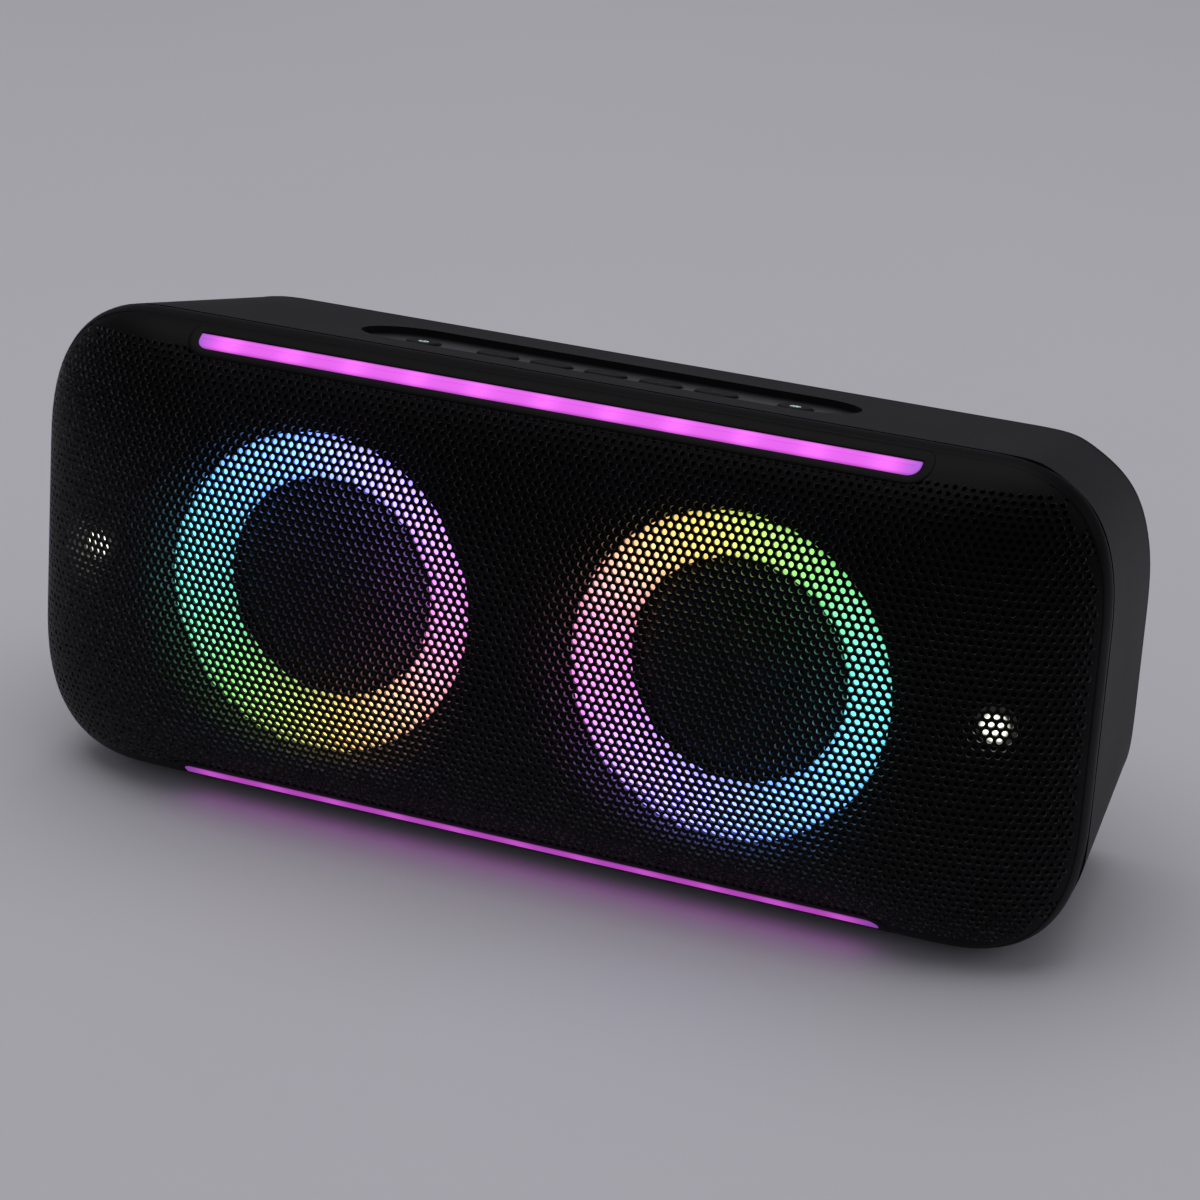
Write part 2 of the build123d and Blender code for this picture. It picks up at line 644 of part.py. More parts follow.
def foot(x, y):
    """Rubber foot set into the bottom."""
    pad = extrude(Circle(FOOT_R), FOOT_T)
    pad = chamfer(pad.faces().sort_by(Axis.Z)[-1].edges(), FOOT_BEVEL)
    return foot_frame(x, y) * (Pos(0, 0, -FOOT_SINK) * pad)


def housing_pillars():
    """Tubes from the baffle to the rear cover, which take the cover's screws."""
    front, back = BAFFLE_FRONT + BAFFLE_T, housing_inner_back()
    tubes = []
    for x, z in PILLARS:
        tubes.append(rod(x, z, front, back, PILLAR_R) - rod(x, z, back - PILOT_DEPTH, back + CUT, PILOT_R))
    return Compound(children=tubes)


def housing_screws():
    """Screws through the rear cover into the pillars."""
    screws = []
    seat = TOTAL_DEPTH - SEAT_DEPTH
    for x, z in PILLARS:
        head = rod(x, z, seat, seat + COVER_HEAD_H, HEAD_R)
        screws.append(rod(x, z, seat - COVER_SCREW_L, seat, SCREW_R) + head)
    return Compound(children=screws)


def bass_port():
    """Flared tube that vents the cabinet through the back."""
    mouth = TOTAL_DEPTH - PORT_SINK
    outer = PORT_R + PORT_T
    lip = outer + PORT_FLARE - FIT
    steps = [pi / 2 * i / PORT_STEPS for i in range(PORT_STEPS + 1)]
    flare = [(PORT_R + PORT_FLARE * (1 - cos(a)), mouth - PORT_FLARE + PORT_FLARE * sin(a)) for a in steps]
    back = [(lip, mouth), (lip, mouth - PORT_RIM), (outer + PORT_CONE_R, mouth - PORT_CONE_Y),
            (outer, mouth - PORT_NECK_Y), (outer, mouth - PORT_L)]
    return turned([(PORT_R, mouth - PORT_L)] + flare + back, 0, PORT_Z)


# ---------------------------------------------------------------- control deck
def deck_places():
    """Key names and their places along the deck: a lit key at each end, five between."""
    places = {"power": -END_KEY_X, "light": END_KEY_X}
    for i, name in enumerate(KEYS):
        places[name] = (i - (len(KEYS) - 1) / 2) * KEY_PITCH
    return places


def key_shape(name, grow):
    """Outline of a key, or of its hole when grown."""
    if name in ("power", "light"):
        return Circle(END_KEY_R + grow)
    return SlotOverall(KEY_L + 2 * grow, KEY_W + 2 * grow)


def control_deck():
    """Sunk panel under the top window, with a hole for each key."""
    deck = on_deck(extrude(SlotOverall(DECK_L - 2 * FIT, DECK_W - 2 * FIT), DECK_T), DECK_SINK + DECK_T)
    flange = SlotOverall(DECK_L + 2 * DECK_LIP, DECK_W + 2 * DECK_LIP)
    deck += on_deck(extrude(flange, DECK_T - LIP_GAP), WALL + DECK_T)
    for name, x in deck_places().items():
        deck -= on_deck(Pos(x, 0, 0) * extrude(key_shape(name, FIT), DECK_CUT), DECK_CUT_DROP)
    return deck


def key(name, x):
    """One key: cap, catch under the deck and the stem that presses its switch."""
    under = WALL + DECK_T + LIP_GAP
    top = DECK_SINK - KEY_PROUD
    catch = under + CATCH_T
    cap = extrude(key_shape(name, 0.0), under - top)
    cap = fillet(cap.faces().sort_by(Axis.Z)[-1].edges(), KEY_ROUND)
    body = on_deck(Pos(x, 0, 0) * cap, under)
    body += on_deck(Pos(x, 0, 0) * extrude(key_shape(name, CATCH), CATCH_T), catch)
    return body + on_deck(Pos(x, 0, 0) * extrude(Circle(STEM_R), STEM_L), catch + STEM_L)


def deck_board():
    """Circuit board under the deck with a switch below each key."""
    top = DECK_BOARD_DROP + SWITCH_H + FIT
    board = on_deck(extrude(RectangleRounded(*DECK_BOARD), BOARD_T), top + BOARD_T)
    for x in deck_places().values():
        board += on_deck(Pos(x, 0, 0) * extrude(Rectangle(SWITCH, SWITCH), SWITCH_H), top)
    return board


# ---------------------------------------------------------------- back sockets
def port_floor():
    """Depth of the outside face of the socket panel."""
    return TOTAL_DEPTH - POCKET_DEPTH + PANEL_T


def port_panel():
    """Panel at the bottom of the pocket with its socket holes."""
    face = port_floor()
    back = face - PANEL_T
    panel = pocket_box(POCKET_L - 2 * FIT, POCKET_H - 2 * FIT, back, face)
    panel += pocket_box(POCKET_L + 2 * PANEL_EDGE, POCKET_H + 2 * PANEL_EDGE, back - PANEL_T, back)
    for name, (collar_r, _) in SOCKETS.items():
        panel -= rod(SOCKET_X[name], POCKET_Z, back - PANEL_T - CUT, face + CUT, collar_r + SOCKET_GAP)
    length, depth, height = USB_SHELL
    return panel - block(SOCKET_X["usb"], face, POCKET_Z, length + 2 * USB_FIT, depth, height + 2 * USB_FIT)


def round_socket(name, bore_r, bore_depth):
    """Round socket: a collar through the panel and a square body behind it."""
    x = SOCKET_X[name]
    collar_r, half = SOCKETS[name]
    mouth = port_floor() + COLLAR_PROUD
    behind = port_floor() - SOCKET_BACK
    length = bore_depth - SOCKET_END
    body = rod(x, POCKET_Z, behind, mouth, collar_r)
    body += block(x, behind - length / 2, POCKET_Z, 2 * half, length, 2 * half)
    return body - rod(x, POCKET_Z, mouth - bore_depth, mouth + CUT, bore_r)


def dc_socket():
    """Power inlet with its centre pin."""
    face = port_floor()
    pin = rod(SOCKET_X["dc"], POCKET_Z, face + COLLAR_PROUD - DC_DEPTH, face - DC_PIN_SINK, DC_PIN_R)
    return round_socket("dc", DC_R, DC_DEPTH) + pin


def usb_socket():
    """Charging socket: a metal shell with its tongue."""
    mouth = port_floor() + USB_PROUD
    x = SOCKET_X["usb"]
    shell = block(x, mouth - USB_SHELL[1] / 2, POCKET_Z, *USB_SHELL)
    shell -= block(x, mouth - USB_ROOM[1] / 2 + USB_MOUTH, POCKET_Z, *USB_ROOM)
    return shell + block(x, port_floor() - USB_TONGUE_IN, POCKET_Z + USB_TONGUE_UP, *USB_TONGUE)


def hinge_axis_z():
    """Height of the flap's hinge axis."""
    return POCKET_Z - POCKET_H / 2 + HINGE_R + HINGE_UP


def hinge_axis_y():
    """Depth of the flap's hinge axis."""
    return TOTAL_DEPTH - HINGE_R - HINGE_IN


def hinge_rod(half_length, radius):
    """Rod along the flap's hinge axis."""
    return Plane(origin=(-half_length, hinge_axis_y(), hinge_axis_z()),
                 z_dir=(1, 0, 0)) * extrude(Circle(radius), 2 * half_length)


def port_flap():
    """Rubber flap over the sockets, with two hinge barrels along its lower edge."""
    face = TOTAL_DEPTH - FLAP_SINK
    y, z = hinge_axis_y(), hinge_axis_z()
    low = z + FLAP_LOW
    flap = pocket_box(POCKET_L - 2 * FLAP_FIT, POCKET_H - 2 * FLAP_FIT, face - FLAP_T, face)
    flap -= block(0, TOTAL_DEPTH, low - POCKET_H / 2, POCKET_L, POCKET_DEPTH, POCKET_H)
    flap += block(0, face - FLAP_T / 2, low - TONGUE_DROP, TONGUE_L, FLAP_T, TONGUE_H)
    for x in (-BARREL_X, BARREL_X):
        flap += Pos(x, 0, 0) * hinge_rod(BARREL_L / 2, HINGE_R + BARREL_T)
        flap += block(x, y + BARREL_WEB_Y, z + BARREL_WEB_Z, *BARREL_WEB)
    return flap - hinge_rod(HINGE_HALF_L, HINGE_R + BARREL_FIT)


def hinge_pin():
    """Pin that the flap turns on, held by the tray's two lugs."""
    return hinge_rod(HINGE_HALF_L, HINGE_R)


# ---------------------------------------------------------------- inside
def main_board():
    """Main circuit board under the sockets, with a few tall components."""
    board = block(*MAIN_BOARD_AT, *MAIN_BOARD)
    for place, size in TALL_PARTS:
        board += block(*place, *size)
    for x in CAPACITORS_X:
        board += Pos(x, *CAPACITOR_AT) * extrude(Circle(CAPACITOR_R), CAPACITOR_H)
    return board


def amp_heatsink():
    """Finned heatsink on the amplifier."""
    y, z = HEATSINK_AT
    length, depth, height = HEATSINK
    sink = block(0, y, z, length, depth, height)
    for i in range(FINS):
        x = (i - (FINS - 1) / 2) * FIN_PITCH
        sink += block(x, y + (depth + FIN_L) / 2, z, FIN_T, FIN_L, height)
    return sink


def battery_pack():
    """Wrapped pack of cells at the left end."""
    pack = block(*BATTERY_AT, *BATTERY)
    return fillet(pack.edges().filter_by(Axis.Y), BATTERY_ROUND)


def battery_strap():
    """Strap that holds the pack to the baffle."""
    return block(*BATTERY_AT, *STRAP) - block(*BATTERY_AT, *STRAP_ROOM)


# ---------------------------------------------------------------- assembly
def build_nodes():
    """Every node of the speaker by name, in the cabinet's frame."""
    nodes = {"front_grille": front_grille(), "front_baffle": front_baffle(), "rear_housing": rear_housing()}
    nodes["rear_cover"] = rear_cover()
    nodes["socket_tray"] = socket_tray()
    nodes["housing_pillars"] = housing_pillars()
    nodes["top_light_bar"] = light_bar(1)
    nodes["bottom_light_bar"] = light_bar(-1)
    nodes["bar_led_strips"] = Compound(children=[led_strip(1), led_strip(-1)])
    for name, sign in SIDES.items():
        x = sign * DRIVER_X
        nodes[f"light_ring_{name}"] = light_ring(x)
        nodes[f"ring_led_board_{name}"] = ring_board(x)
        nodes[f"woofer_surround_{name}"] = surround(x)
        nodes[f"woofer_cone_{name}"] = cone(x)
        nodes[f"woofer_dust_cap_{name}"] = dust_cap(x)
        nodes[f"woofer_voice_coil_{name}"] = voice_coil(x)
        nodes[f"woofer_spider_{name}"] = spider(x)
        nodes[f"woofer_basket_{name}"] = basket(x)
        nodes[f"woofer_magnet_{name}"] = magnet(x)
        nodes[f"strobe_lens_{name}"] = strobe_lens(sign * STROBE_X)
        nodes[f"strobe_reflector_{name}"] = strobe_cup(sign * STROBE_X)
        nodes[f"strobe_board_{name}"] = strobe_board(sign * STROBE_X)
    nodes["driver_screws"] = driver_screws()
    nodes["housing_screws"] = housing_screws()
    nodes["bass_port"] = bass_port()
    nodes["control_deck"] = control_deck()
    nodes["deck_board"] = deck_board()
    for name, x in deck_places().items():
        nodes[f"{name}_key"] = key(name, x)
    nodes["port_panel"] = port_panel()
    nodes["mic_socket"] = round_socket("mic", MIC_R, MIC_DEPTH)
    nodes["aux_socket"] = round_socket("aux", AUX_R, AUX_DEPTH)
    nodes["usb_socket"] = usb_socket()
    nodes["dc_socket"] = dc_socket()
    nodes["port_flap"] = port_flap()
    nodes["flap_hinge_pin"] = hinge_pin()
    nodes["main_board"] = main_board()
    nodes["amp_heatsink"] = amp_heatsink()
    nodes["battery_pack"] = battery_pack()
    nodes["battery_strap"] = battery_strap()
    for name, (x, y) in FEET.items():
        nodes[f"foot_{name}"] = foot(x, y)
    return nodes


def stand(shape, lift=0.0, shift=0.0):
    """Lean a shape back with the cabinet and set it over the floor."""
    return Pos(0, shift, lift) * (Rot(-degrees(TAPER), 0, 0) * shape)


os.makedirs("parts", exist_ok=True)
cabinet = build_nodes()
whole = [stand(shape).bounding_box() for shape in cabinet.values()]
floor_z = min(box.min.Z for box in whole)
middle_y = (min(box.min.Y for box in whole) + max(box.max.Y for box in whole)) / 2
for node, shape in cabinet.items():
    export_step(stand(shape, -floor_z, -middle_y), f"parts/{node}.step")
print(f"lean {degrees(TAPER):.3f} deg, lift {-floor_z:.4f}, shift {-middle_y:.4f}, nodes {len(cabinet)}")
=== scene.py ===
"""Looks of a party speaker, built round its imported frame.

The cabinet leans back on its tapered bottom. Every piece is laid out in the cabinet's own axes, and one
matrix stands it on the floor. Those axes are x along the width, y back from the crown of the grille and z up
the face.
"""

import json
import logging
import math
from collections.abc import Callable, Sequence
from dataclasses import dataclass, field
from enum import Enum

import bpy
import numpy as np
from mathutils import Matrix, Vector


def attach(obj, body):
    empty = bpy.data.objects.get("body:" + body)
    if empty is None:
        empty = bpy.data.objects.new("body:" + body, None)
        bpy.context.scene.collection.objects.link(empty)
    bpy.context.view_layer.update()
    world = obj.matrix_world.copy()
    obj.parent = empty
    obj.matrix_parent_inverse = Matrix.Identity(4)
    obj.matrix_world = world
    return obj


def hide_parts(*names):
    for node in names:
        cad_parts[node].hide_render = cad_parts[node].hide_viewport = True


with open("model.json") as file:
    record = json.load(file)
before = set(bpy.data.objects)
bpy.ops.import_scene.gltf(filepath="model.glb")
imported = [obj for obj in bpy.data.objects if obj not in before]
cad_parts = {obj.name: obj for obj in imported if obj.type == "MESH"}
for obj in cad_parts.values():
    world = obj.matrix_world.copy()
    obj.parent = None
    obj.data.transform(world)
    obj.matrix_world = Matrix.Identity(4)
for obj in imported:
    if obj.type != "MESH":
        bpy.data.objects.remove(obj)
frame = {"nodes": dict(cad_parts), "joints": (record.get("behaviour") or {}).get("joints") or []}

log = logging.getLogger("party_speaker")

MM = 0.001
FULL_TURN = 2 * math.pi
CABINET = "cabinet"

Colour = tuple[float, float, float]
Point = tuple[float, float, float]
Flat = tuple[float, float]
Inputs = dict[str, "Value | float | Sequence[float] | str"]
Settings = dict[str, object]


class Side(Enum):
    """Which end of the cabinet a driver stands at, as a sign along x."""

    LEFT = -1
    RIGHT = 1

    @property
    def word(self) -> str:
        """The side's name as the frame's nodes use it."""
        return self.name.lower()


class Edge(Enum):
    """Which long edge of the grille a light bar runs along, as a sign along z."""

    TOP = 1
    BOTTOM = -1

    @property
    def word(self) -> str:
        """The edge's name as the frame's nodes use it."""
        return self.name.lower()


# ---- Shader graphs ----


def math_node(operation: str, is_turned: bool = False) -> Callable[..., "Value"]:
    """Makes a method of Value that adds one Math node.

    Args:
        operation: The Math node's operation.
        is_turned: Whether the value comes after the other term.

    Returns:
        The method.
    """

    def method(self: "Value", *others: "Value | float") -> "Value":
        """Adds the node and gives its result."""
        node = self.graph.tree.nodes.new("ShaderNodeMath")
        node.operation = operation
        terms = (*others, self) if is_turned else (self, *others)
        for socket, term in zip(node.inputs, terms):
            self.graph.feed(socket, term)
        return Value(self.graph, node.outputs[0])

    return method


class Value:
    """One socket's value in shader arithmetic. Each operation on it adds one Math node.

    cosine() takes an angle in radians, and z.angle_from(x) is the angle of the point (x, z) round the origin.
    """

    def __init__(self, graph: "Graph", socket: bpy.types.NodeSocket) -> None:
        """Keeps the graph that the socket is in."""
        self.graph = graph
        self.socket = socket

    __add__ = math_node("ADD")
    __radd__ = math_node("ADD", is_turned=True)
    __sub__ = math_node("SUBTRACT")
    __rsub__ = math_node("SUBTRACT", is_turned=True)
    __mul__ = math_node("MULTIPLY")
    __rmul__ = math_node("MULTIPLY", is_turned=True)
    __truediv__ = math_node("DIVIDE")
    __pow__ = math_node("POWER")
    cosine = math_node("COSINE")
    angle_from = math_node("ARCTAN2")
    fraction = math_node("FRACT")
    size = math_node("ABSOLUTE")

    def step(self, low: float, high: float) -> "Value":
        """0 below low, 1 above high, and smooth between.

        Args:
            low: Where the rise starts.
            high: Where it ends.

        Returns:
            The eased share.
        """
        settings = {"interpolation_type": "SMOOTHSTEP"}
        inputs = {"Value": self, "From Min": low, "From Max": high}
        return self.graph.add("ShaderNodeMapRange", settings, inputs)

    def output(self, name: str) -> "Value":
        """Another output of the same node."""
        return Value(self.graph, self.socket.node.outputs[name])


class Graph:
    """A material's node tree, with one method that adds any node."""

    def __init__(self, name: str) -> None:
        """Makes an empty material with only its output node."""
        self.material = bpy.data.materials.new(name)
        self.material.use_nodes = True
        self.tree = self.material.node_tree
        self.tree.nodes.clear()
        self.end = self.tree.nodes.new("ShaderNodeOutputMaterial")

    def feed(self, socket: bpy.types.NodeSocket, value: "Value | float | Sequence[float] | str") -> None:
        """Links a value to a socket, or sets a plain number, colour or vector on it."""
        if isinstance(value, Value):
            self.tree.links.new(value.socket, socket)
        else:
            socket.default_value = value

    def add(self, kind: str, settings: Settings | None = None, inputs: Inputs | None = None) -> Value:
        """Adds one node.

        Args:
            kind: The node's type.
            settings: Its settings, which are set first. "stops" are a colour ramp's places and colours.
            inputs: Values or links for its sockets, by name.

        Returns:
            The first output that the settings leave on.
        """
        node = self.tree.nodes.new(kind)
        for name, setting in (settings or {}).items():
            if name == "stops":
                self._set_stops(node.color_ramp, setting)
            else:
                setattr(node, name, setting)
        for name, value in (inputs or {}).items():
            self.feed(next(s for s in node.inputs if s.enabled and s.name == name), value)
        return Value(self, next(s for s in node.outputs if s.enabled))

    @staticmethod
    def _set_stops(ramp: bpy.types.ColorRamp, stops: Sequence[tuple[float, Colour]]) -> None:
        """Gives a colour ramp its stops, in order along it."""
        for _ in range(len(stops) - 2):
            ramp.elements.new(0.5)
        for element, (place, colour) in zip(ramp.elements, stops):
            element.position = place
            element.color = (*colour, 1.0)

    def place(self) -> Value:
        """Coordinates in the piece's own axes."""
        return self.add("ShaderNodeTexCoord").output("Object")

    def along(self) -> tuple[Value, Value, Value]:
        """The piece's own x, y and z."""
        x = self.add("ShaderNodeSeparateXYZ", None, {"Vector": self.place()})
        return x, x.output("Y"), x.output("Z")

    def noise(self, scale: float, detail: float = 4.0, stretch: Point = (1, 1, 1)) -> Value:
        """Soft noise over the piece.

        Args:
            scale: Waves per metre.
            detail: How many finer layers it has.
            stretch: How much more often it repeats along each axis.

        Returns:
            A value round one half.
        """
        placed = self.add("ShaderNodeMapping", None, {"Vector": self.place(), "Scale": stretch})
        return self.add("ShaderNodeTexNoise", None, {"Vector": placed, "Scale": scale, "Detail": detail})

    def cells(self, scale: float) -> Value:
        """Distance to the nearest of scattered points, scale of them to the metre."""
        return self.add("ShaderNodeTexVoronoi", None, {"Vector": self.place(), "Scale": scale})

    def blend(self, share: Value | float, first: Value | Colour, second: Value | Colour) -> Value:
        """Mixes two colours.

        Args:
            share: How much of the second colour shows.
            first: Colour at 0.
            second: Colour at 1.

        Returns:
            The mixed colour.
        """
        start, end = [c if isinstance(c, Value) else (*c, 1.0) for c in (first, second)]
        return self.add("ShaderNodeMix", {"data_type": "RGBA"}, {"Factor": share, "A": start, "B": end})

    def relief(self, height: Value, depth: float, strength: float = 1.0) -> Value:
        """Surface normal roughened by a height.

        Args:
            height: Relief from 0 to 1.
            depth: How deep it is, in metres.
            strength: How much of it shows.

        Returns:
            The new normal.
        """
        return self.add("ShaderNodeBump", None, {"Height": height, "Distance": depth, "Strength": strength})

    def scaled(self, colour: Value, power: Value) -> Value:
        """A colour made brighter or darker by a power."""
        return self.add("ShaderNodeVectorMath", {"operation": "SCALE"}, {"Vector": colour, "Scale": power})

    def radius(self) -> Value:
        """Distance from the axis that the piece is turned on."""
        x, _, z = self.along()
        return (x * x + z * z) ** 0.5

    def edges(self) -> Value:
        """Share of edge wear and painted edge highlight: 1 on outer edges and corners, 0 on flat and hollow
        places.
        """
        bend = self.add("ShaderNodeNewGeometry").output("Pointiness")
        return bend.step(0.52, 0.6)

    def finish(self, inputs: Inputs) -> bpy.types.Material:
        """Ends the graph in one surface shader.

        Args:
            inputs: The shader's sockets by name.

        Returns:
            The finished material.
        """
        shader = self.add("ShaderNodeBsdfPrincipled", None, inputs)
        self.tree.links.new(shader.socket, self.end.inputs["Surface"])
        return self.material


# ---- Finishes ----


@dataclass(frozen=True)
class Finish:
    """A material that is worked out from the piece's own axes. Each kind says how it is shaded."""

    name: str

    def shade(self, g: Graph) -> Inputs:
        """The surface shader's inputs, worked out on the graph."""
        raise NotImplementedError(f"{type(self).__name__} has no shader on {g}")

    def build(self) -> bpy.types.Material:
        """Makes the material."""
        g = Graph(self.name)
        return g.finish(self.shade(g))


@dataclass(frozen=True)
class Moulded(Finish):
    """Matte moulded plastic or rubber with a spark-eroded grain, and outer edges lightened in patches for
    rubbed wear and a painted edge highlight.
    """

    colour: Colour
    grain: float = 1400.0
    depth: float = 0.05 * MM
    roughness: float = 0.55
    gloss: float = 0.3
    # The colour and share below lighten outer edges in patches: partly rubbed wear, partly a painted
    # highlight.
    worn_and_highlight_colour: Colour = (0.035, 0.035, 0.038)
    wear: float = 0.06

    def shade(self, g: Graph) -> Inputs:
        """The surface shader's inputs."""
        fine = g.cells(self.grain)
        broad = g.noise(26.0, 5.0)
        # Lighter patches on outer edges: partly rubbed wear, partly a painted edge highlight.
        worn_and_highlight_edges = g.edges() * g.noise(160.0, 3.0).step(0.4, 0.7)
        base = g.blend(broad.step(0.35, 0.7), self.colour, tuple(1.1 * c for c in self.colour))
        return {
            "Base Color": g.blend(worn_and_highlight_edges * self.wear, base, self.worn_and_highlight_colour),
            "Roughness": self.roughness + 0.06 * (broad - 0.5) + 0.06 * fine,
            "Specular IOR Level": self.gloss,
            "Normal": g.relief(fine + 0.3 * g.noise(self.grain * 0.6, 2.0), self.depth, 0.6),
        }


@dataclass(frozen=True)
class PowderCoat(Finish):
    """Satin black powder coat on steel sheet: a fine orange peel with a faint dust in it."""

    colour: Colour = (0.0018, 0.0018, 0.0022)
    dust: Colour = (0.006, 0.006, 0.0072)
    peel: float = 900.0
    roughness: float = 0.42
    gloss: float = 0.09

    def shade(self, g: Graph) -> Inputs:
        """The surface shader's inputs."""
        peel = g.noise(self.peel, 3.0)
        broad = g.noise(18.0, 4.0)
        return {
            "Base Color": g.blend(broad.step(0.45, 0.8) * 0.4, self.colour, self.dust),
            "Roughness": self.roughness + 0.16 * (broad - 0.5) + 0.1 * (peel - 0.5),
            "Specular IOR Level": self.gloss,
            "Normal": g.relief(peel, 0.03 * MM, 0.5),
        }


@dataclass(frozen=True)
class PunchedWall(Finish):
    """Wall of a punched hole, where thin paint lets the steel shine and catches the light behind it."""

    name: str = "punched_wall"
    paint: Colour = (0.02, 0.02, 0.022)
    steel: Colour = (0.30, 0.30, 0.31)
    shine: float = 0.55

    def shade(self, g: Graph) -> Inputs:
        """The surface shader's inputs."""
        bare = g.noise(1100.0, 2.0).step(0.42, 0.68)
        return {
            "Base Color": g.blend(bare, self.paint, self.steel),
            "Roughness": 0.34 + 0.2 * g.noise(2200.0, 2.0),
            "Metallic": self.shine * bare,
            "Specular IOR Level": 0.5,
        }


@dataclass(frozen=True)
class BarLight(Finish):
    """Milky lens of a light bar, brighter in front of each lamp and violet at its ends."""

    lamps: int
    half_length: float
    half_width: float
    strength: float
    dim_end: float = 9 * MM
    least_power: float = 0.84
    lamp_power: float = 0.18
    edge_loss: float = 0.45
    lit: Colour = (0.80, 0.080, 0.84)
    hot: Colour = (0.90, 0.14, 0.90)
    end: Colour = (0.30, 0.07, 0.62)

    def shade(self, g: Graph) -> Inputs:
        """The surface shader's inputs."""
        x, _, height = g.along()
        pitch = 2 * self.half_length / self.lamps
        beat = 0.5 + 0.5 * ((x / pitch) * FULL_TURN).cosine()
        hot = (beat ** 2.0) * (0.55 + 0.9 * g.noise(42.0, 2.0, (1, 0.2, 0.2)).step(0.3, 0.7))
        tip = x.size().step(self.half_length - self.dim_end, self.half_length)
        colour = g.blend(tip * 0.8, g.blend(hot * 0.5, self.lit, self.hot), self.end)
        edge = 1 - self.edge_loss * (height.size() / self.half_width).step(0.62, 1.0)
        power = (self.least_power + self.lamp_power * hot) * edge
        lit = g.scaled(colour, power * self.strength)
        return {
            "Base Color": (0.30, 0.12, 0.34, 1.0),
            "Roughness": 0.3 + 0.1 * g.noise(500.0, 2.0),
            "Specular IOR Level": 0.3,
            "Emission Color": lit,
            "Emission Strength": 1.0,
        }


@dataclass(frozen=True)
class RainbowRing(Finish):
    """Milky light ring whose lamps run once round the colour wheel."""

    turn: float
    strength: float
    inner: float
    outer: float
    lamps: int = 24
    least_power: float = 0.94
    lamp_power: float = 0.10
    edge_loss: float = 0.35
    wheel: tuple[Colour, ...] = (
        (0.12, 0.30, 1.00),
        (0.26, 0.25, 1.00),
        (0.36, 0.21, 0.92),
        (0.54, 0.14, 0.62),
        (0.58, 0.16, 0.34),
        (0.55, 0.27, 0.15),
        (0.46, 0.31, 0.06),
        (0.22, 0.36, 0.06),
        (0.09, 0.38, 0.09),
        (0.07, 0.42, 0.27),
        (0.07, 0.40, 0.48),
        (0.09, 0.32, 0.74),
    )

    def shade(self, g: Graph) -> Inputs:
        """The surface shader's inputs."""
        x, _, z = g.along()
        clockwise = 1.25 - z.angle_from(x) / FULL_TURN
        share = (clockwise + self.turn).fraction()
        stops = [(i / len(self.wheel), c) for i, c in enumerate(self.wheel)] + [(1.0, self.wheel[0])]
        colour = g.add("ShaderNodeValToRGB", {"stops": stops}, {"Fac": share})
        middle = (self.inner + self.outer) / 2
        across = ((g.radius() - middle) / ((self.outer - self.inner) / 2)).size()
        beat = 0.5 + 0.5 * (share * (FULL_TURN * self.lamps)).cosine()
        edge = 1 - self.edge_loss * across.step(0.55, 1.0)
        power = (self.least_power + self.lamp_power * beat) * edge
        lit = g.scaled(colour, power * self.strength)
        return {
            "Base Color": (0.62, 0.62, 0.64, 1.0),
            "Roughness": 0.45 + 0.1 * g.noise(600.0, 2.0),
            "Emission Color": lit,
            "Emission Strength": 1.0,
        }


@dataclass(frozen=True)
class Glow(Finish):
    """A small lamp or lit mark with an uneven glow."""

    colour: Colour
    strength: float

    def shade(self, g: Graph) -> Inputs:
        """The surface shader's inputs."""
        uneven = g.noise(700.0, 2.0).step(0.25, 0.75)
        lit = g.blend(uneven, tuple(0.55 * c for c in self.colour), self.colour)
        return {
            "Base Color": (0.5, 0.5, 0.5, 1.0),
            "Roughness": 0.3 + 0.1 * uneven,
            "Emission Color": lit,
            "Emission Strength": self.strength,
        }


@dataclass(frozen=True)
class FacetedLens(Finish):
    """Strobe lens lit from behind: a bright middle, stepped rings and dark lines between its facets."""

    radius: float
    colour: Colour = (1.0, 0.98, 0.84)
    strength: float = 3.6
    unlit: Colour = (0.004, 0.004, 0.003)
    ring_pitch: float = 1.7 * MM
    spokes: float = 12.0
    full_reach: float = 0.55
    lit_reach: float = 0.8

    def shade(self, g: Graph) -> Inputs:
        """The surface shader's inputs."""
        x, _, z = g.along()
        radius = g.radius()
        rings = 0.5 + 0.5 * (radius * (FULL_TURN / self.ring_pitch)).cosine()
        spokes = 0.5 + 0.5 * (z.angle_from(x) * self.spokes).cosine()
        sparkle = g.cells(620.0).step(0.25, 0.6)
        pattern = 0.25 + 0.75 * (rings * 0.5 + spokes * 0.5) * (1 - 0.6 * sparkle)
        centre = 1 - radius.step(self.full_reach * self.radius, self.lit_reach * self.radius)
        lit = g.blend(pattern * centre, self.unlit, self.colour)
        return {
            "Base Color": (0.08, 0.08, 0.078, 1.0),
            "Roughness": 0.12 + 0.15 * rings,
            "Emission Color": lit,
            "Emission Strength": self.strength,
            "Normal": g.relief(rings, 0.3 * MM),
        }


@dataclass(frozen=True)
class Metal(Finish):
    """Turned, pressed or cast metal with fine marks along one direction."""

    colour: Colour
    roughness: float = 0.32
    marks: Point = (1, 40, 1)
    scale: float = 220.0

    def shade(self, g: Graph) -> Inputs:
        """The surface shader's inputs."""
        marks = g.noise(self.scale, 3.0, self.marks)
        stain = g.noise(40.0, 4.0)
        dark = tuple(0.6 * c for c in self.colour)
        return {
            "Base Color": g.blend(stain.step(0.4, 0.8), self.colour, dark),
            "Metallic": 1.0,
            "Roughness": self.roughness + 0.18 * (marks - 0.5) + 0.15 * (stain - 0.5),
            "Normal": g.relief(marks, 0.02 * MM, 0.5),
        }


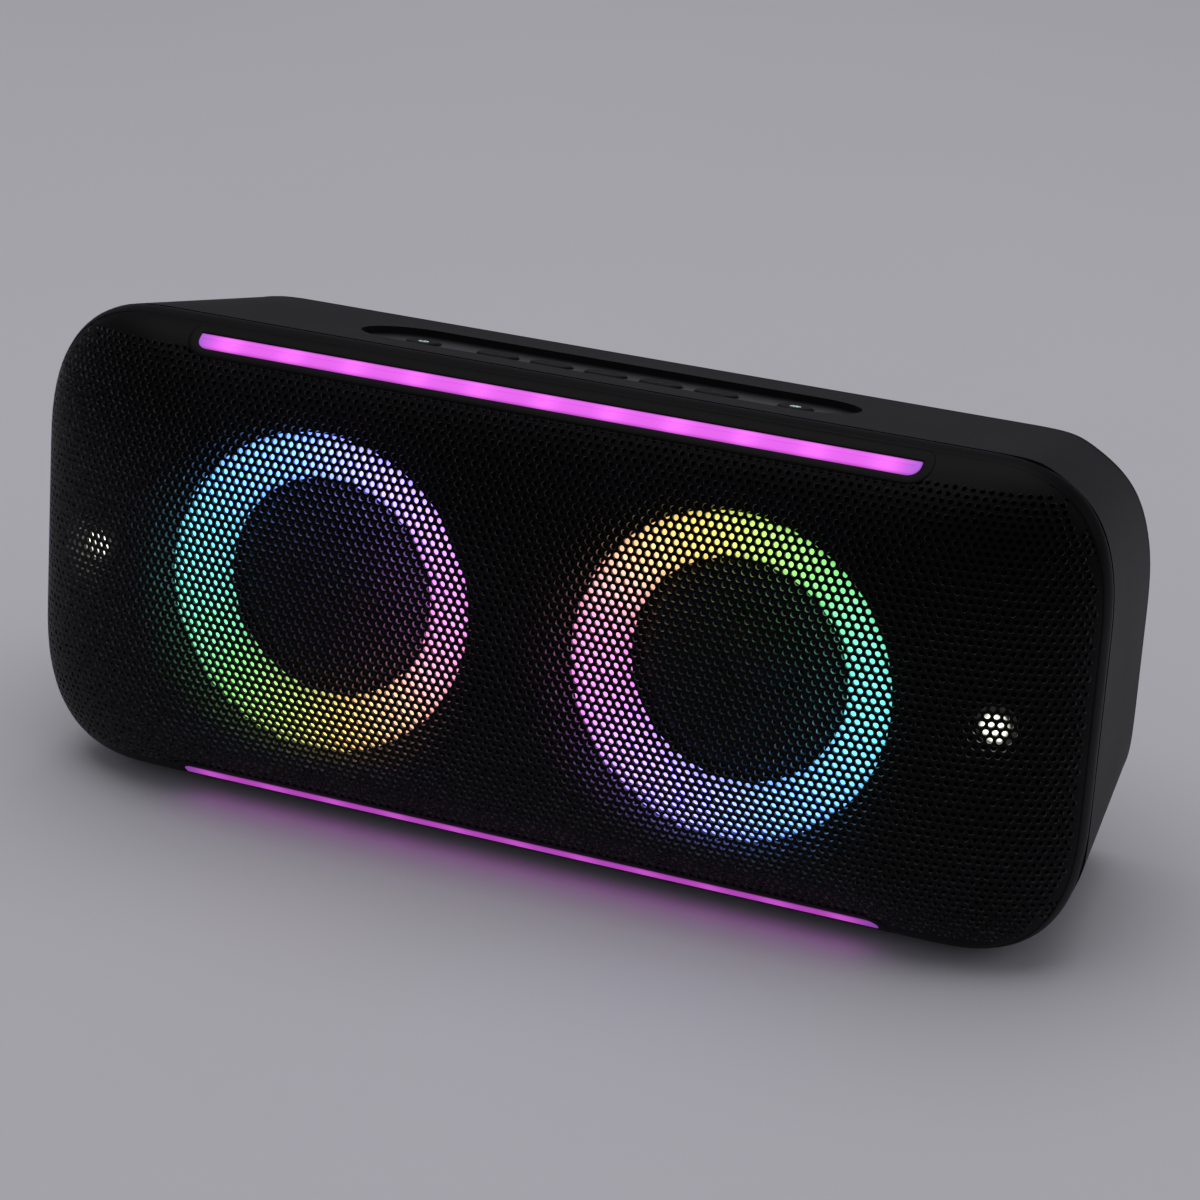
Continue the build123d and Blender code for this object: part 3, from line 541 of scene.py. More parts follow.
@dataclass(frozen=True)
class PressedPaper(Finish):
    """Coated paper cone with fibres in it and fine rings from its mould."""

    name: str = "coated_paper_cone"
    colour: Colour = (0.012, 0.012, 0.014)
    fibre: Colour = (0.045, 0.045, 0.05)
    ring_pitch: float = 1.1 * MM

    def shade(self, g: Graph) -> Inputs:
        """The surface shader's inputs."""
        rings = 0.5 + 0.5 * (g.radius() * (FULL_TURN / self.ring_pitch)).cosine()
        fibres = g.noise(900.0, 5.0, (1, 0.3, 2.2))
        return {
            "Base Color": g.blend(fibres.step(0.5, 0.72), self.colour, self.fibre),
            "Roughness": 0.62 + 0.2 * fibres,
            "Specular IOR Level": 0.3,
            "Normal": g.relief(0.6 * fibres + 0.4 * rings, 0.12 * MM),
        }


@dataclass(frozen=True)
class Weave(Finish):
    """Woven cloth or webbing, with its two threads crossing."""

    colour: Colour
    thread: float = 0.7 * MM

    def shade(self, g: Graph) -> Inputs:
        """The surface shader's inputs."""
        x, y, z = g.along()
        warp = 0.5 + 0.5 * (x * (FULL_TURN / self.thread)).cosine()
        weft = 0.5 + 0.5 * ((z + y) * (FULL_TURN / self.thread)).cosine()
        height = warp * 0.5 + weft * 0.5
        pale = tuple(1.5 * c for c in self.colour)
        return {
            "Base Color": g.blend(height * g.noise(300.0), self.colour, pale),
            "Roughness": 0.75 + 0.15 * height,
            "Normal": g.relief(height, 0.15 * MM),
        }


@dataclass(frozen=True)
class CircuitBoard(Finish):
    """Solder mask over copper tracks and pads."""

    mask: Colour = (0.008, 0.05, 0.026)
    track: Colour = (0.02, 0.11, 0.055)
    pad: Colour = (0.75, 0.62, 0.38)

    def shade(self, g: Graph) -> Inputs:
        """The surface shader's inputs."""
        grid = g.add(
            "ShaderNodeTexBrick",
            {"offset": 0.37, "squash": 1.6},
            {
                "Vector": g.place(),
                "Scale": 160.0,
                "Mortar Size": 0.045,
                "Brick Width": 0.9,
                "Row Height": 0.22,
            },
        )
        tracks = grid.output("Fac")
        pads = 1 - g.cells(260.0).step(0.12, 0.18)
        board = g.blend(tracks, self.mask, self.track)
        return {
            "Base Color": g.blend(pads, board, self.pad),
            "Metallic": pads * 0.9,
            "Roughness": 0.45 - 0.2 * pads + 0.1 * g.noise(90.0),
            "Normal": g.relief(tracks + pads, 0.04 * MM),
        }


@dataclass(frozen=True)
class PaleFloor(Finish):
    """Seamless matte studio floor with a barely uneven tone."""

    name: str = "studio_floor"
    colour: Colour = (0.84, 0.82, 0.87)

    def shade(self, g: Graph) -> Inputs:
        """The surface shader's inputs."""
        tone = g.noise(3.0, 3.0)
        pale = tuple(min(1.0, 1.05 * c) for c in self.colour)
        return {
            "Base Color": g.blend(tone, self.colour, pale),
            "Roughness": 0.7 + 0.1 * tone,
            "Specular IOR Level": 0.2,
            "Normal": g.relief(g.noise(400.0, 2.0), 0.05 * MM, 0.3),
        }


class Finishes:
    """Every finish of the speaker, each made once and shared."""

    def __init__(self) -> None:
        """Makes the finishes that more than one piece wears."""
        self.sheet = PowderCoat("grille_powder_coat").build()
        self.wall = PunchedWall().build()
        self.housing = Moulded(
            "housing_plastic", (0.0055, 0.0055, 0.0066), 1500.0, 0.05 * MM, 0.5, 0.12
        ).build()
        self.baffle = Moulded("baffle_plastic", (0.004, 0.004, 0.0045), 900.0, 0.05 * MM, 0.7, 0.12).build()
        self.deck = Moulded("deck_plastic", (0.0045, 0.0045, 0.005), 2200.0, 0.03 * MM, 0.3, 0.4).build()
        self.key = Moulded("key_rubber", (0.007, 0.007, 0.0075), 2600.0, 0.03 * MM, 0.62, 0.25).build()
        self.rubber = Moulded(
            "foot_rubber", (0.012, 0.012, 0.012), 700.0, 0.08 * MM, 0.8, 0.2, (0.05, 0.05, 0.05)
        ).build()
        self.flap = Moulded(
            "flap_rubber", (0.009, 0.009, 0.0095), 1100.0, 0.06 * MM, 0.72, 0.22, (0.04, 0.04, 0.04)
        ).build()
        self.surround = Moulded(
            "surround_rubber", (0.006, 0.006, 0.0065), 1300.0, 0.04 * MM, 0.5, 0.3
        ).build()
        self.port = Moulded("port_plastic", (0.0062, 0.0062, 0.0072), 1200.0, 0.04 * MM, 0.42, 0.35).build()
        self.glyph = Moulded(
            "key_mark", (0.05, 0.05, 0.052), 2600.0, 0.02 * MM, 0.5, 0.3, (0.09, 0.09, 0.09)
        ).build()
        self.socket = Moulded("socket_plastic", (0.008, 0.008, 0.009), 1800.0, 0.03 * MM, 0.4, 0.4).build()
        self.battery = Moulded(
            "battery_wrap", (0.02, 0.055, 0.16), 500.0, 0.05 * MM, 0.35, 0.5, (0.09, 0.15, 0.3)
        ).build()
        self.former = Moulded(
            "coil_former", (0.28, 0.17, 0.06), 900.0, 0.03 * MM, 0.4, 0.4, (0.45, 0.3, 0.15)
        ).build()
        self.cone = PressedPaper().build()
        self.spider = Weave("spider_cloth", (0.36, 0.22, 0.09)).build()
        self.strap = Weave("strap_webbing", (0.012, 0.012, 0.013), 1.1 * MM).build()
        self.basket = Metal("pressed_steel_basket", (0.10, 0.10, 0.105), 0.45).build()
        self.magnet = Metal("plated_magnet", (0.42, 0.42, 0.43), 0.35).build()
        self.fastener = Metal("blacked_screw", (0.05, 0.05, 0.052), 0.38, (1, 1, 1), 900.0).build()
        self.pin = Metal("steel_pin", (0.55, 0.55, 0.56), 0.28, (40, 1, 1)).build()
        self.jack = Metal("nickel_socket", (0.62, 0.6, 0.56), 0.22, (1, 30, 1), 500.0).build()
        self.heatsink = Metal("drawn_heatsink", (0.5, 0.5, 0.52), 0.34, (1, 1, 50)).build()
        self.reflector = Metal("bright_reflector", (0.9, 0.9, 0.88), 0.12, (1, 1, 1), 300.0).build()
        self.board = CircuitBoard("green_board").build()
        self.lamp_board = CircuitBoard("white_lamp_board", (0.35, 0.36, 0.34), (0.45, 0.46, 0.44)).build()


# ---- Placing and making meshes ----


class Stand:
    """How the cabinet stands: from its own axes to the frame's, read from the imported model."""

    def __init__(self) -> None:
        """Reads the lean from a cone's stroke, and the origin from the crown of the grille."""
        stroke = next(j for j in frame["joints"] if j["name"] == "cone_left_stroke")
        back = -Vector(stroke["axis"]).normalized()
        across = Vector((1, 0, 0))
        up = across.cross(back)
        self.turn = Matrix((across, back, up)).transposed()
        low, high = self._reach("front_grille", Vector((0, 0, 0)))
        self.origin = Vector(((low.x + high.x) / 2, low.y, (low.z + high.z) / 2))
        self.matrix = self.turn.to_4x4() @ Matrix.Translation(self.origin)

    def _reach(self, node: str, origin: Vector) -> tuple[Vector, Vector]:
        """Lowest and highest corner of a node in the cabinet's axes, from an origin."""
        mesh = frame["nodes"][node].data
        found = np.empty(3 * len(mesh.vertices), np.float32)
        mesh.vertices.foreach_get("co", found)
        turned = found.reshape(-1, 3) @ np.array(self.turn) - np.array(origin)
        return Vector(turned.min(0)), Vector(turned.max(0))

    def box(self, node: str) -> tuple[Vector, Vector]:
        """Lowest and highest corner of a node in the cabinet's axes."""
        return self._reach(node, self.origin)

    def centre(self, node: str) -> Vector:
        """Middle of a node's box in the cabinet's axes."""
        low, high = self.box(node)
        return (low + high) / 2

    def put(self, piece: bpy.types.Object, where: Matrix | Vector, body: str = CABINET) -> bpy.types.Object:
        """Stands a piece in its place and lets it ride on a body.

        Args:
            piece: The object, with its mesh in its own axes.
            where: Its place in the cabinet's axes.
            body: The body that it moves with.

        Returns:
            The same object.
        """
        local = where if isinstance(where, Matrix) else Matrix.Translation(where)
        piece.matrix_world = self.matrix @ local
        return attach(piece, body)

    def settle(self, piece: bpy.types.Object) -> bpy.types.Object:
        """Stands a piece whose mesh is laid out in the cabinet's axes, and lets it ride on the cabinet."""
        piece.data.transform(self.matrix)
        piece.data.update()
        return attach(piece, CABINET)


def make_piece(
    name: str,
    points: Sequence[Point] | np.ndarray,
    faces: Sequence[Sequence[int]],
    finishes: Sequence[bpy.types.Material],
    choice: Sequence[int] | np.ndarray | None = None,
    crease: float = 35.0,
) -> bpy.types.Object:
    """Makes one smooth-shaded mesh object.

    Args:
        name: The piece's name.
        points: Its vertices in metres.
        faces: Vertex numbers of each face, anticlockwise from outside.
        finishes: Its materials.
        choice: Which material each face wears.
        crease: Angle in degrees past which an edge stays sharp.

    Returns:
        The new object.
    """
    mesh = bpy.data.meshes.new(name)
    mesh.from_pydata([tuple(p) for p in points], [], [tuple(f) for f in faces])
    for finish in finishes:
        mesh.materials.append(finish)
    if choice is not None:
        mesh.polygons.foreach_set("material_index", np.asarray(choice, dtype=np.int32))
    mesh.validate()
    mesh.polygons.foreach_set("use_smooth", np.ones(len(mesh.polygons), dtype=bool))
    mesh.set_sharp_from_angle(angle=math.radians(crease))
    mesh.update()
    piece = bpy.data.objects.new(name, mesh)
    bpy.context.scene.collection.objects.link(piece)
    return piece


def lathe(
    name: str,
    profile: Sequence[Flat],
    finish: bpy.types.Material,
    steps: int = 96,
    crease: float = 35.0,
) -> bpy.types.Object:
    """Turns a closed outline round the depth axis.

    Args:
        name: The piece's name.
        profile: Radius and depth of each corner, clockwise as drawn with depth to the right, in metres.
        finish: Its material.
        steps: Points round the turn.
        crease: Angle in degrees past which an edge stays sharp.

    Returns:
        The new object.
    """
    points: list[Point] = []
    rings: list[list[int]] = []
    for radius, depth in profile:
        if radius < 1e-7:
            rings.append([len(points)] * steps)
            points.append((0.0, depth, 0.0))
            continue
        rings.append([len(points) + i for i in range(steps)])
        angles = [FULL_TURN * i / steps for i in range(steps)]
        points += [(radius * math.cos(a), depth, radius * math.sin(a)) for a in angles]
    faces: list[tuple[int, ...]] = []
    for first, second in zip(rings, rings[1:] + rings[:1]):
        for i in range(steps):
            j = (i + 1) % steps
            corners = [first[i], second[i], second[j], first[j]]
            face = tuple(dict.fromkeys(corners))
            if len(face) > 2:
                faces.append(face)
    return make_piece(name, points, faces, [finish], None, crease)


def arc(centre: Flat, radius: float, start: float, end: float, steps: int) -> list[Flat]:
    """Points along a round stretch of an outline.

    Args:
        centre: Its centre.
        radius: Its radius.
        start: First angle in degrees.
        end: Last angle in degrees.
        steps: How many pieces it has.

    Returns:
        The points, both ends included.
    """
    angles = [math.radians(start + (end - start) * i / steps) for i in range(steps + 1)]
    return [(centre[0] + radius * math.cos(a), centre[1] + radius * math.sin(a)) for a in angles]


def between(first: Flat, second: Flat, share: float) -> Flat:
    """The point a share of the way from one point to another."""
    return first[0] + (second[0] - first[0]) * share, first[1] + (second[1] - first[1]) * share


def stack(
    name: str,
    layers: Sequence[Sequence[Point]],
    finish: bpy.types.Material,
    caps: tuple[bool, bool] = (True, True),
    crease: float = 35.0,
) -> bpy.types.Object:
    """Joins equal rings of points into one skin.

    Args:
        name: The piece's name.
        layers: The rings in order, each anticlockwise as seen from the last one's side.
        finish: Its material.
        caps: Whether the first and the last ring are closed.
        crease: Angle in degrees past which an edge stays sharp.

    Returns:
        The new object.
    """
    count = len(layers[0])
    points = [p for layer in layers for p in layer]
    faces: list[Sequence[int]] = []
    for level in range(len(layers) - 1):
        low, high = level * count, (level + 1) * count
        for i in range(count):
            j = (i + 1) % count
            faces.append((low + i, low + j, high + j, high + i))
    if caps[0]:
        faces.append(list(range(count))[::-1])
    if caps[1]:
        faces.append([(len(layers) - 1) * count + i for i in range(count)])
    return make_piece(name, points, faces, [finish], None, crease)


# ---- The bowed front ----


@dataclass(frozen=True)
class Crown:
    """The bowed front of the cabinet: nested outlines that roll back from a flat crown to the seam."""

    half_width: float = 191 * MM
    half_height: float = 82.5 * MM
    roll_width: float = 90 * MM
    roll_height: float = 63 * MM
    depth: float = 33.6 * MM
    corner: Flat = (45 * MM, 54 * MM)
    crown_corner: Flat = (30 * MM, 15 * MM)
    power: float = 2.65
    halvings: int = 34
    beyond_seam: float = -0.08
    slope_step: float = 0.02 * MM
    bend_steps: int = 400

    def _sizes(self, share: np.ndarray | float) -> tuple[np.ndarray | float, ...]:
        """Half sizes of the outline and runs of its corners at a share of the way from seam to crown."""
        wide = self.half_width - self.roll_width * share
        high = self.half_height - self.roll_height * share
        return wide, high, *between(self.corner, self.crown_corner, share)

    def _outside(self, share: np.ndarray, x: np.ndarray, z: np.ndarray) -> np.ndarray:
        """Whether points lie outside the outline at a share of the way from the seam to the crown."""
        wide, high, run_x, run_z = self._sizes(share)
        over_x = np.maximum(x - (wide - run_x), 0) / run_x
        over_z = np.maximum(z - (high - run_z), 0) / run_z
        return over_x**self.power + over_z**self.power > 1

    def share(self, x: np.ndarray, z: np.ndarray) -> np.ndarray:
        """How far points are from the seam (0) to the crown (1); a little below 0 outside the seam."""
        x, z = np.abs(x), np.abs(z)
        low = np.full(x.shape, self.beyond_seam)
        high = np.ones(x.shape)
        for _ in range(self.halvings):
            middle = (low + high) / 2
            outside = self._outside(middle, x, z)
            high = np.where(outside, middle, high)
            low = np.where(outside, low, middle)
        return (low + high) / 2

    def turn(self, x: np.ndarray, z: np.ndarray) -> np.ndarray:
        """Angle that the surface has rolled from the seam (0) to the crown (a quarter turn)."""
        return np.arccos(np.clip(1 - self.share(x, z), 0, 1))

    def lift(self, x: np.ndarray, z: np.ndarray, height: np.ndarray | float = 0.0) -> np.ndarray:
        """Points on the surface, or off it along its normal.

        Args:
            x: Places along the width.
            z: Places up the face.
            height: How far they stand out of the surface.

        Returns:
            An array of points.
        """
        step = self.slope_step
        share = self.share(x, z)
        slope_x = (self.share(x + step, z) - self.share(x - step, z)) / (2 * step)
        slope_z = (self.share(x, z + step) - self.share(x, z - step)) / (2 * step)
        turn = np.arccos(np.clip(1 - share, 0, 1))
        rise = -self.depth * np.cos(turn)
        out = np.stack([rise * slope_x, -np.sin(turn), rise * slope_z], -1)
        out /= np.linalg.norm(out, axis=-1, keepdims=True)
        surface = np.stack([x, self.depth * (1 - np.sin(turn)), z], -1)
        return surface + out * np.reshape(height, (-1, 1) if np.ndim(height) else (1, 1))

    def outline(
        self, turn: float, steps: int = 20, runs: tuple[int, int] = (60, 24)
    ) -> tuple[np.ndarray, np.ndarray]:
        """The outline at one turn from the seam, anticlockwise as seen from the front.

        Args:
            turn: Angle from the seam.
            steps: Points in each corner.
            runs: Points along each long and short straight stretch.

        Returns:
            The x and the z of its points.
        """
        wide, high, run_x, run_z = self._sizes(1 - math.cos(turn))
        angles = np.linspace(0, math.pi / 2, steps + 1)
        corner_x = wide - run_x + run_x * np.cos(angles) ** (2 / self.power)
        corner_z = high - run_z + run_z * np.sin(angles) ** (2 / self.power)
        top = np.linspace(wide - run_x, -(wide - run_x), runs[0] + 1)[1:-1]
        side = np.linspace(high - run_z, -(high - run_z), runs[1] + 1)[1:-1]
        end_x, top_z = np.full(side.size, -wide), np.full(top.size, high)
        half_x = np.concatenate([corner_x, top, -corner_x[::-1], end_x])
        half_z = np.concatenate([corner_z, top_z, corner_z[::-1], side])
        return np.concatenate([half_x, -half_x]), np.concatenate([half_z, -half_z])

    def spread(self, reach: np.ndarray, flat: float, roll: float) -> np.ndarray:
        """Where a length along the sheet, measured from the middle, comes to lie across the front.

        Args:
            reach: Lengths along the bent sheet.
            flat: Half size of the flat crown in that direction.
            roll: How far the bent part reaches beyond it.

        Returns:
            Distances from the middle.
        """
        angles = np.linspace(0, math.pi / 2, self.bend_steps)
        speed = np.hypot(roll * np.cos(angles), self.depth * np.sin(angles))
        lengths = np.concatenate([[0], np.cumsum((speed[1:] + speed[:-1]) / 2 * np.diff(angles))])
        size = np.abs(reach)
        bent = flat + roll * np.sin(np.interp(size - flat, lengths, angles))
        return np.sign(reach) * np.where(size <= flat, size, bent)

    def lay(self, u: np.ndarray, v: np.ndarray) -> tuple[np.ndarray, np.ndarray]:
        """Lays points of the flat sheet on the front, keeping lengths along its rows and columns."""
        x = self.spread(u, self.half_width - self.roll_width, self.roll_width)
        z = self.spread(v, self.half_height - self.roll_height, self.roll_height)
        return x, z


@dataclass(frozen=True)
class LightBar:
    """One light bar in its trim: a long milky lens with square outer corners and round inner ones."""

    crown: Crown
    edge: Edge
    half_length: float = 128.3 * MM
    width: float = 6.4 * MM
    thickness: float = 3.6 * MM
    tilt: float = 50.8
    inner_round: float = 4.2 * MM
    outer_round: float = 0.5 * MM
    least_round: float = 0.1 * MM
    corner_steps: int = 8
    long_steps: int = 48
    lamps: int = 11
    lens_crease: float = 50.0
    trim_crease: float = 60.0
    strengths: dict[Edge, float] = field(default_factory=lambda: {Edge.TOP: 1.0, Edge.BOTTOM: 0.55})
    lens_insets: tuple[float, ...] = (0.1, 0.1, 0.25, 0.6, 1.4, 2.4)
    lens_depths: tuple[float, ...] = (3.6, 0.55, 0.3, 0.12, 0.02, -0.06)
    trim_widths: tuple[float, ...] = (0.05, 0.05, 0.3, 3.0, 3.8, 4.0, 3.6)
    trim_heights: tuple[float, ...] = (-1.6, -0.16, -0.04, -0.05, -0.1, -0.4, -1.4)

    def outline(self, grow: float) -> list[Flat]:
        """The lens's outline, anticlockwise with the outer edge up, grown by a margin all round."""
        a = self.half_length + grow
        b = self.width / 2 + grow
        inner = max(self.inner_round + grow, self.least_round)
        outer = max(self.outer_round + grow, self.least_round)
        corners = [
            ((a - outer, b - outer), outer, 0),
            ((outer - a, b - outer), outer, 90),
            ((inner - a, inner - b), inner, 180),
            ((a - inner, inner - b), inner, 270),
        ]
        points: list[Flat] = []
        for centre, radius, start in corners:
            points += arc(centre, radius, start, start + 90, self.corner_steps)
        filled: list[Flat] = []
        for first, second in zip(points, points[1:] + points[:1]):
            is_long = abs(second[0] - first[0]) > self.half_length
            steps = self.long_steps if is_long else 1
            filled += [between(first, second, i / steps) for i in range(steps)]
        return filled

    def frame(self, stand: Stand) -> Matrix:
        """The lens's own axes: x along it, z up its face towards the outer edge, y into the cabinet."""
        middle = stand.centre(f"{self.edge.word}_light_bar")
        slope = math.radians(self.tilt)
        sign = self.edge.value
        inward = Vector((0, math.cos(slope), -sign * math.sin(slope)))
        outer = Vector((0, math.sin(slope), sign * math.cos(slope)))
        along = inward.cross(outer)
        axes = Matrix((along, inward, outer)).transposed().to_4x4()
        face = middle - inward * (self.thickness / 2)
        return Matrix.Translation(face) @ axes

    def build(self, stand: Stand, finishes: Finishes) -> None:
        """Builds the lens and its trim."""
        where = self.frame(stand)
        name = f"{self.edge.word}_bar_light"
        strength = self.strengths[self.edge]
        light = BarLight(name, self.lamps, self.half_length, self.width / 2, strength).build()
        layers = []
        for inset, depth in zip(self.lens_insets, self.lens_depths):
            layers.append([(x, depth * MM, z) for x, z in self.outline(-inset * MM)])
        lens = stack(f"{self.edge.word}_bar_lens", layers, light, crease=self.lens_crease)
        stand.put(lens, where)
        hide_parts(f"{self.edge.word}_light_bar")
        self._trim(stand, finishes, where)
        log.info("light bar %s: %d lamps", self.edge.word, self.lamps)

    def _trim(self, stand: Stand, finishes: Finishes, where: Matrix) -> None:
        """Builds the narrow trim that holds the sheet's cut edge round the lens."""
        layers = []
        for width, height in zip(self.trim_widths, self.trim_heights):
            flat = [where @ Vector((x, 0, z)) for x, z in self.outline(width * MM)]
            x = np.array([p.x for p in flat])
            z = np.array([p.z for p in flat])
            layers.append([tuple(p) for p in self.crown.lift(x, z, height * MM)])
        layers.append(layers[0])
        name = f"{self.edge.word}_bar_trim"
        trim = stack(name, layers[::-1], finishes.sheet, (False, False), self.trim_crease)
        stand.settle(trim)

    def distance(self, stand: Stand, x: np.ndarray, z: np.ndarray, y: np.ndarray) -> np.ndarray:
        """How far points of the sheet are outside the lens's edge, in metres."""
        back = np.array(self.frame(stand).inverted())
        local = np.stack([x, y, z, np.ones(x.shape)], -1) @ back.T
        over_x = np.abs(local[..., 0]) - self.half_length
        over_z = np.abs(local[..., 2]) - self.width / 2
        outside = np.hypot(np.maximum(over_x, 0), np.maximum(over_z, 0))
        return outside + np.minimum(np.maximum(over_x, over_z), 0)


@dataclass(frozen=True)
class Grille:
    """The bowed steel sheet with its punched holes, and the plain rolled lip along its edge."""

    crown: Crown
    bars: tuple[LightBar, ...]
    pitch: float = 3.0 * MM
    hole: float = 1.0 * MM
    sheet: float = 1.2 * MM
    sink: float = 0.14 * MM
    lip: float = 6.6 * MM
    lip_margin: float = 1.8 * MM
    bar_margin: float = 2.0 * MM
    beside_bar: float = 3.2 * MM
    row_margin: float = 1.0 * MM
    least_share: float = 0.0012
    corners: int = 12
    lip_crease: float = 60.0
    lip_widths: tuple[float, ...] = (0.02, 0.02, 0.25, 1.2, 3.0, 5.4, 6.4, 6.6, 6.2)
    lip_heights: tuple[float, ...] = (-1.2, -0.2, -0.08, -0.05, -0.05, -0.05, -0.07, -0.3, -1.2)
    panels: tuple[tuple[str, float, float], ...] = (
        ("left", -1.0, -66 * MM),
        ("middle", -66 * MM, 66 * MM),
        ("right", 66 * MM, 1.0),
    )

    def _cells(self) -> np.ndarray:
        """Centres of the holes' cells on the flat sheet, in staggered rows."""
        row = self.pitch * math.sqrt(3) / 2
        rows = int(self.crown.half_height * 1.3 / row)
        across = int(self.crown.half_width * 1.2 / self.pitch)
        places = [
            ((i + 0.5 * (j % 2)) * self.pitch, j * row)
            for j in range(-rows, rows + 1)
            for i in range(-across, across + 1)
        ]
        return np.array(places)

    def _ring(self, reach: Callable[[int], float]) -> np.ndarray:
        """Points round one cell, reach(i) from its centre."""
        angles = [FULL_TURN * i / self.corners for i in range(self.corners)]
        return np.array([(reach(i) * math.cos(a), reach(i) * math.sin(a)) for i, a in enumerate(angles)])

    def _hexagon(self) -> np.ndarray:
        """Corners and edge middles of one cell, in turn."""
        return self._ring(lambda i: self.pitch / 2 if i % 2 == 0 else self.pitch / math.sqrt(3))

    def _lay(self, flat: np.ndarray) -> tuple[np.ndarray, np.ndarray]:
        """Front and back points of the sheet for points of the flat sheet."""
        x, z = self.crown.lay(flat[:, 0], flat[:, 1])
        return self.crown.lift(x, z, -self.sink), self.crown.lift(x, z, -self.sheet)

    def build(self, stand: Stand, finishes: Finishes) -> None:
        """Builds the three panels of the sheet and its lip."""
        cells = self._cells()
        outer = cells[:, None, :] + self._hexagon()[None]
        x, z = self.crown.lay(outer[..., 0].ravel(), outer[..., 1].ravel())
        inside = (self.crown.share(x, z).reshape(len(cells), -1) > self.least_share).all(1)
        cells = cells[inside]
        x, z = self.crown.lay(cells[:, 0], cells[:, 1])
        y = self.crown.lift(x, z)[:, 1]
        away = np.min([bar.distance(stand, x, z, y) for bar in self.bars], axis=0)
        kept = away > self.bar_margin
        cells, x, z, away = cells[kept], x[kept], z[kept], away[kept]
        inner_edge = min(abs(z[away < self.beside_bar]))
        margin = self.crown.turn(x, z) * self.crown.depth
        punched = (margin > self.lip + self.lip_margin) & (np.abs(z) < inner_edge - self.row_margin)
        for word, low, high in self.panels:
            chosen = (x > low) & (x <= high)
            self._panel(stand, finishes, word, cells[chosen], punched[chosen])
        self._lip(stand, finishes)
        log.info("grille: %d holes, %d plain cells", int(punched.sum()), int((~punched).sum()))

    def _panel(
        self, stand: Stand, finishes: Finishes, word: str, cells: np.ndarray, punched: np.ndarray
    ) -> None:
        """Builds one panel of the sheet.

        Args:
            stand: Where the cabinet stands.
            finishes: The shared finishes.
            word: The panel's name.
            cells: Centres of its cells on the flat sheet.
            punched: Which of them have a hole.
        """
        n = self.corners
        outer = (cells[:, None, :] + self._hexagon()[None]).reshape(-1, 2)
        unit = np.array([self.pitch / 4, self.pitch * math.sqrt(3) / 12])
        keys = np.rint(outer / unit).astype(np.int64)
        welded, number = np.unique(keys, axis=0, return_inverse=True)
        number = number.reshape(len(cells), n)
        holes = cells[punched][:, None, :] + self._ring(lambda i: self.hole)[None]
        flat = np.concatenate([welded * unit, holes.reshape(-1, 2)])
        front, back = self._lay(flat)
        count = len(flat)
        step = np.roll(np.arange(n), -1)
        rim = number[punched]
        hole = len(welded) + np.arange(len(rim) * n).reshape(-1, n)
        ring = np.stack([rim, rim[:, step], hole[:, step], hole], -1).reshape(-1, 4)
        wall = np.stack([hole, hole[:, step], hole[:, step] + count, hole + count], -1).reshape(-1, 4)
        plain = number[~punched]
        sides = np.stack([number, number[:, step]], -1).reshape(-1, 2)
        _, first, uses = np.unique(np.sort(sides, 1), axis=0, return_index=True, return_counts=True)
        cut = sides[first[uses == 1]]
        border = np.stack([cut[:, 1], cut[:, 0], cut[:, 0] + count, cut[:, 1] + count], -1)
        coats = (ring, ring[:, ::-1] + count, plain, plain[:, ::-1] + count, border)
        faces = [face for coat in coats for face in coat.tolist()]
        coated = len(faces)
        faces += wall.tolist()
        choice = np.zeros(len(faces), np.int32)
        choice[coated:] = 1
        panel = make_piece(
            f"grille_{word}", np.concatenate([front, back]), faces, [finishes.sheet, finishes.wall], choice
        )
        stand.settle(panel)
        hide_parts("front_grille")
        log.info("grille panel %s: %d faces", word, len(faces))

    def _lip(self, stand: Stand, finishes: Finishes) -> None:
        """Builds the plain lip, which rolls into the groove between grille and housing."""
        layers = []
        for width, height in zip(self.lip_widths, self.lip_heights):
            x, z = self.crown.outline(width * MM / self.crown.depth)
            layers.append([tuple(p) for p in self.crown.lift(x, z, height * MM)])
        layers.append(layers[0])
        lip = stack("grille_lip", layers, finishes.sheet, (False, False), self.lip_crease)
        stand.settle(lip)


# ---- Drivers, rings and strobes ----


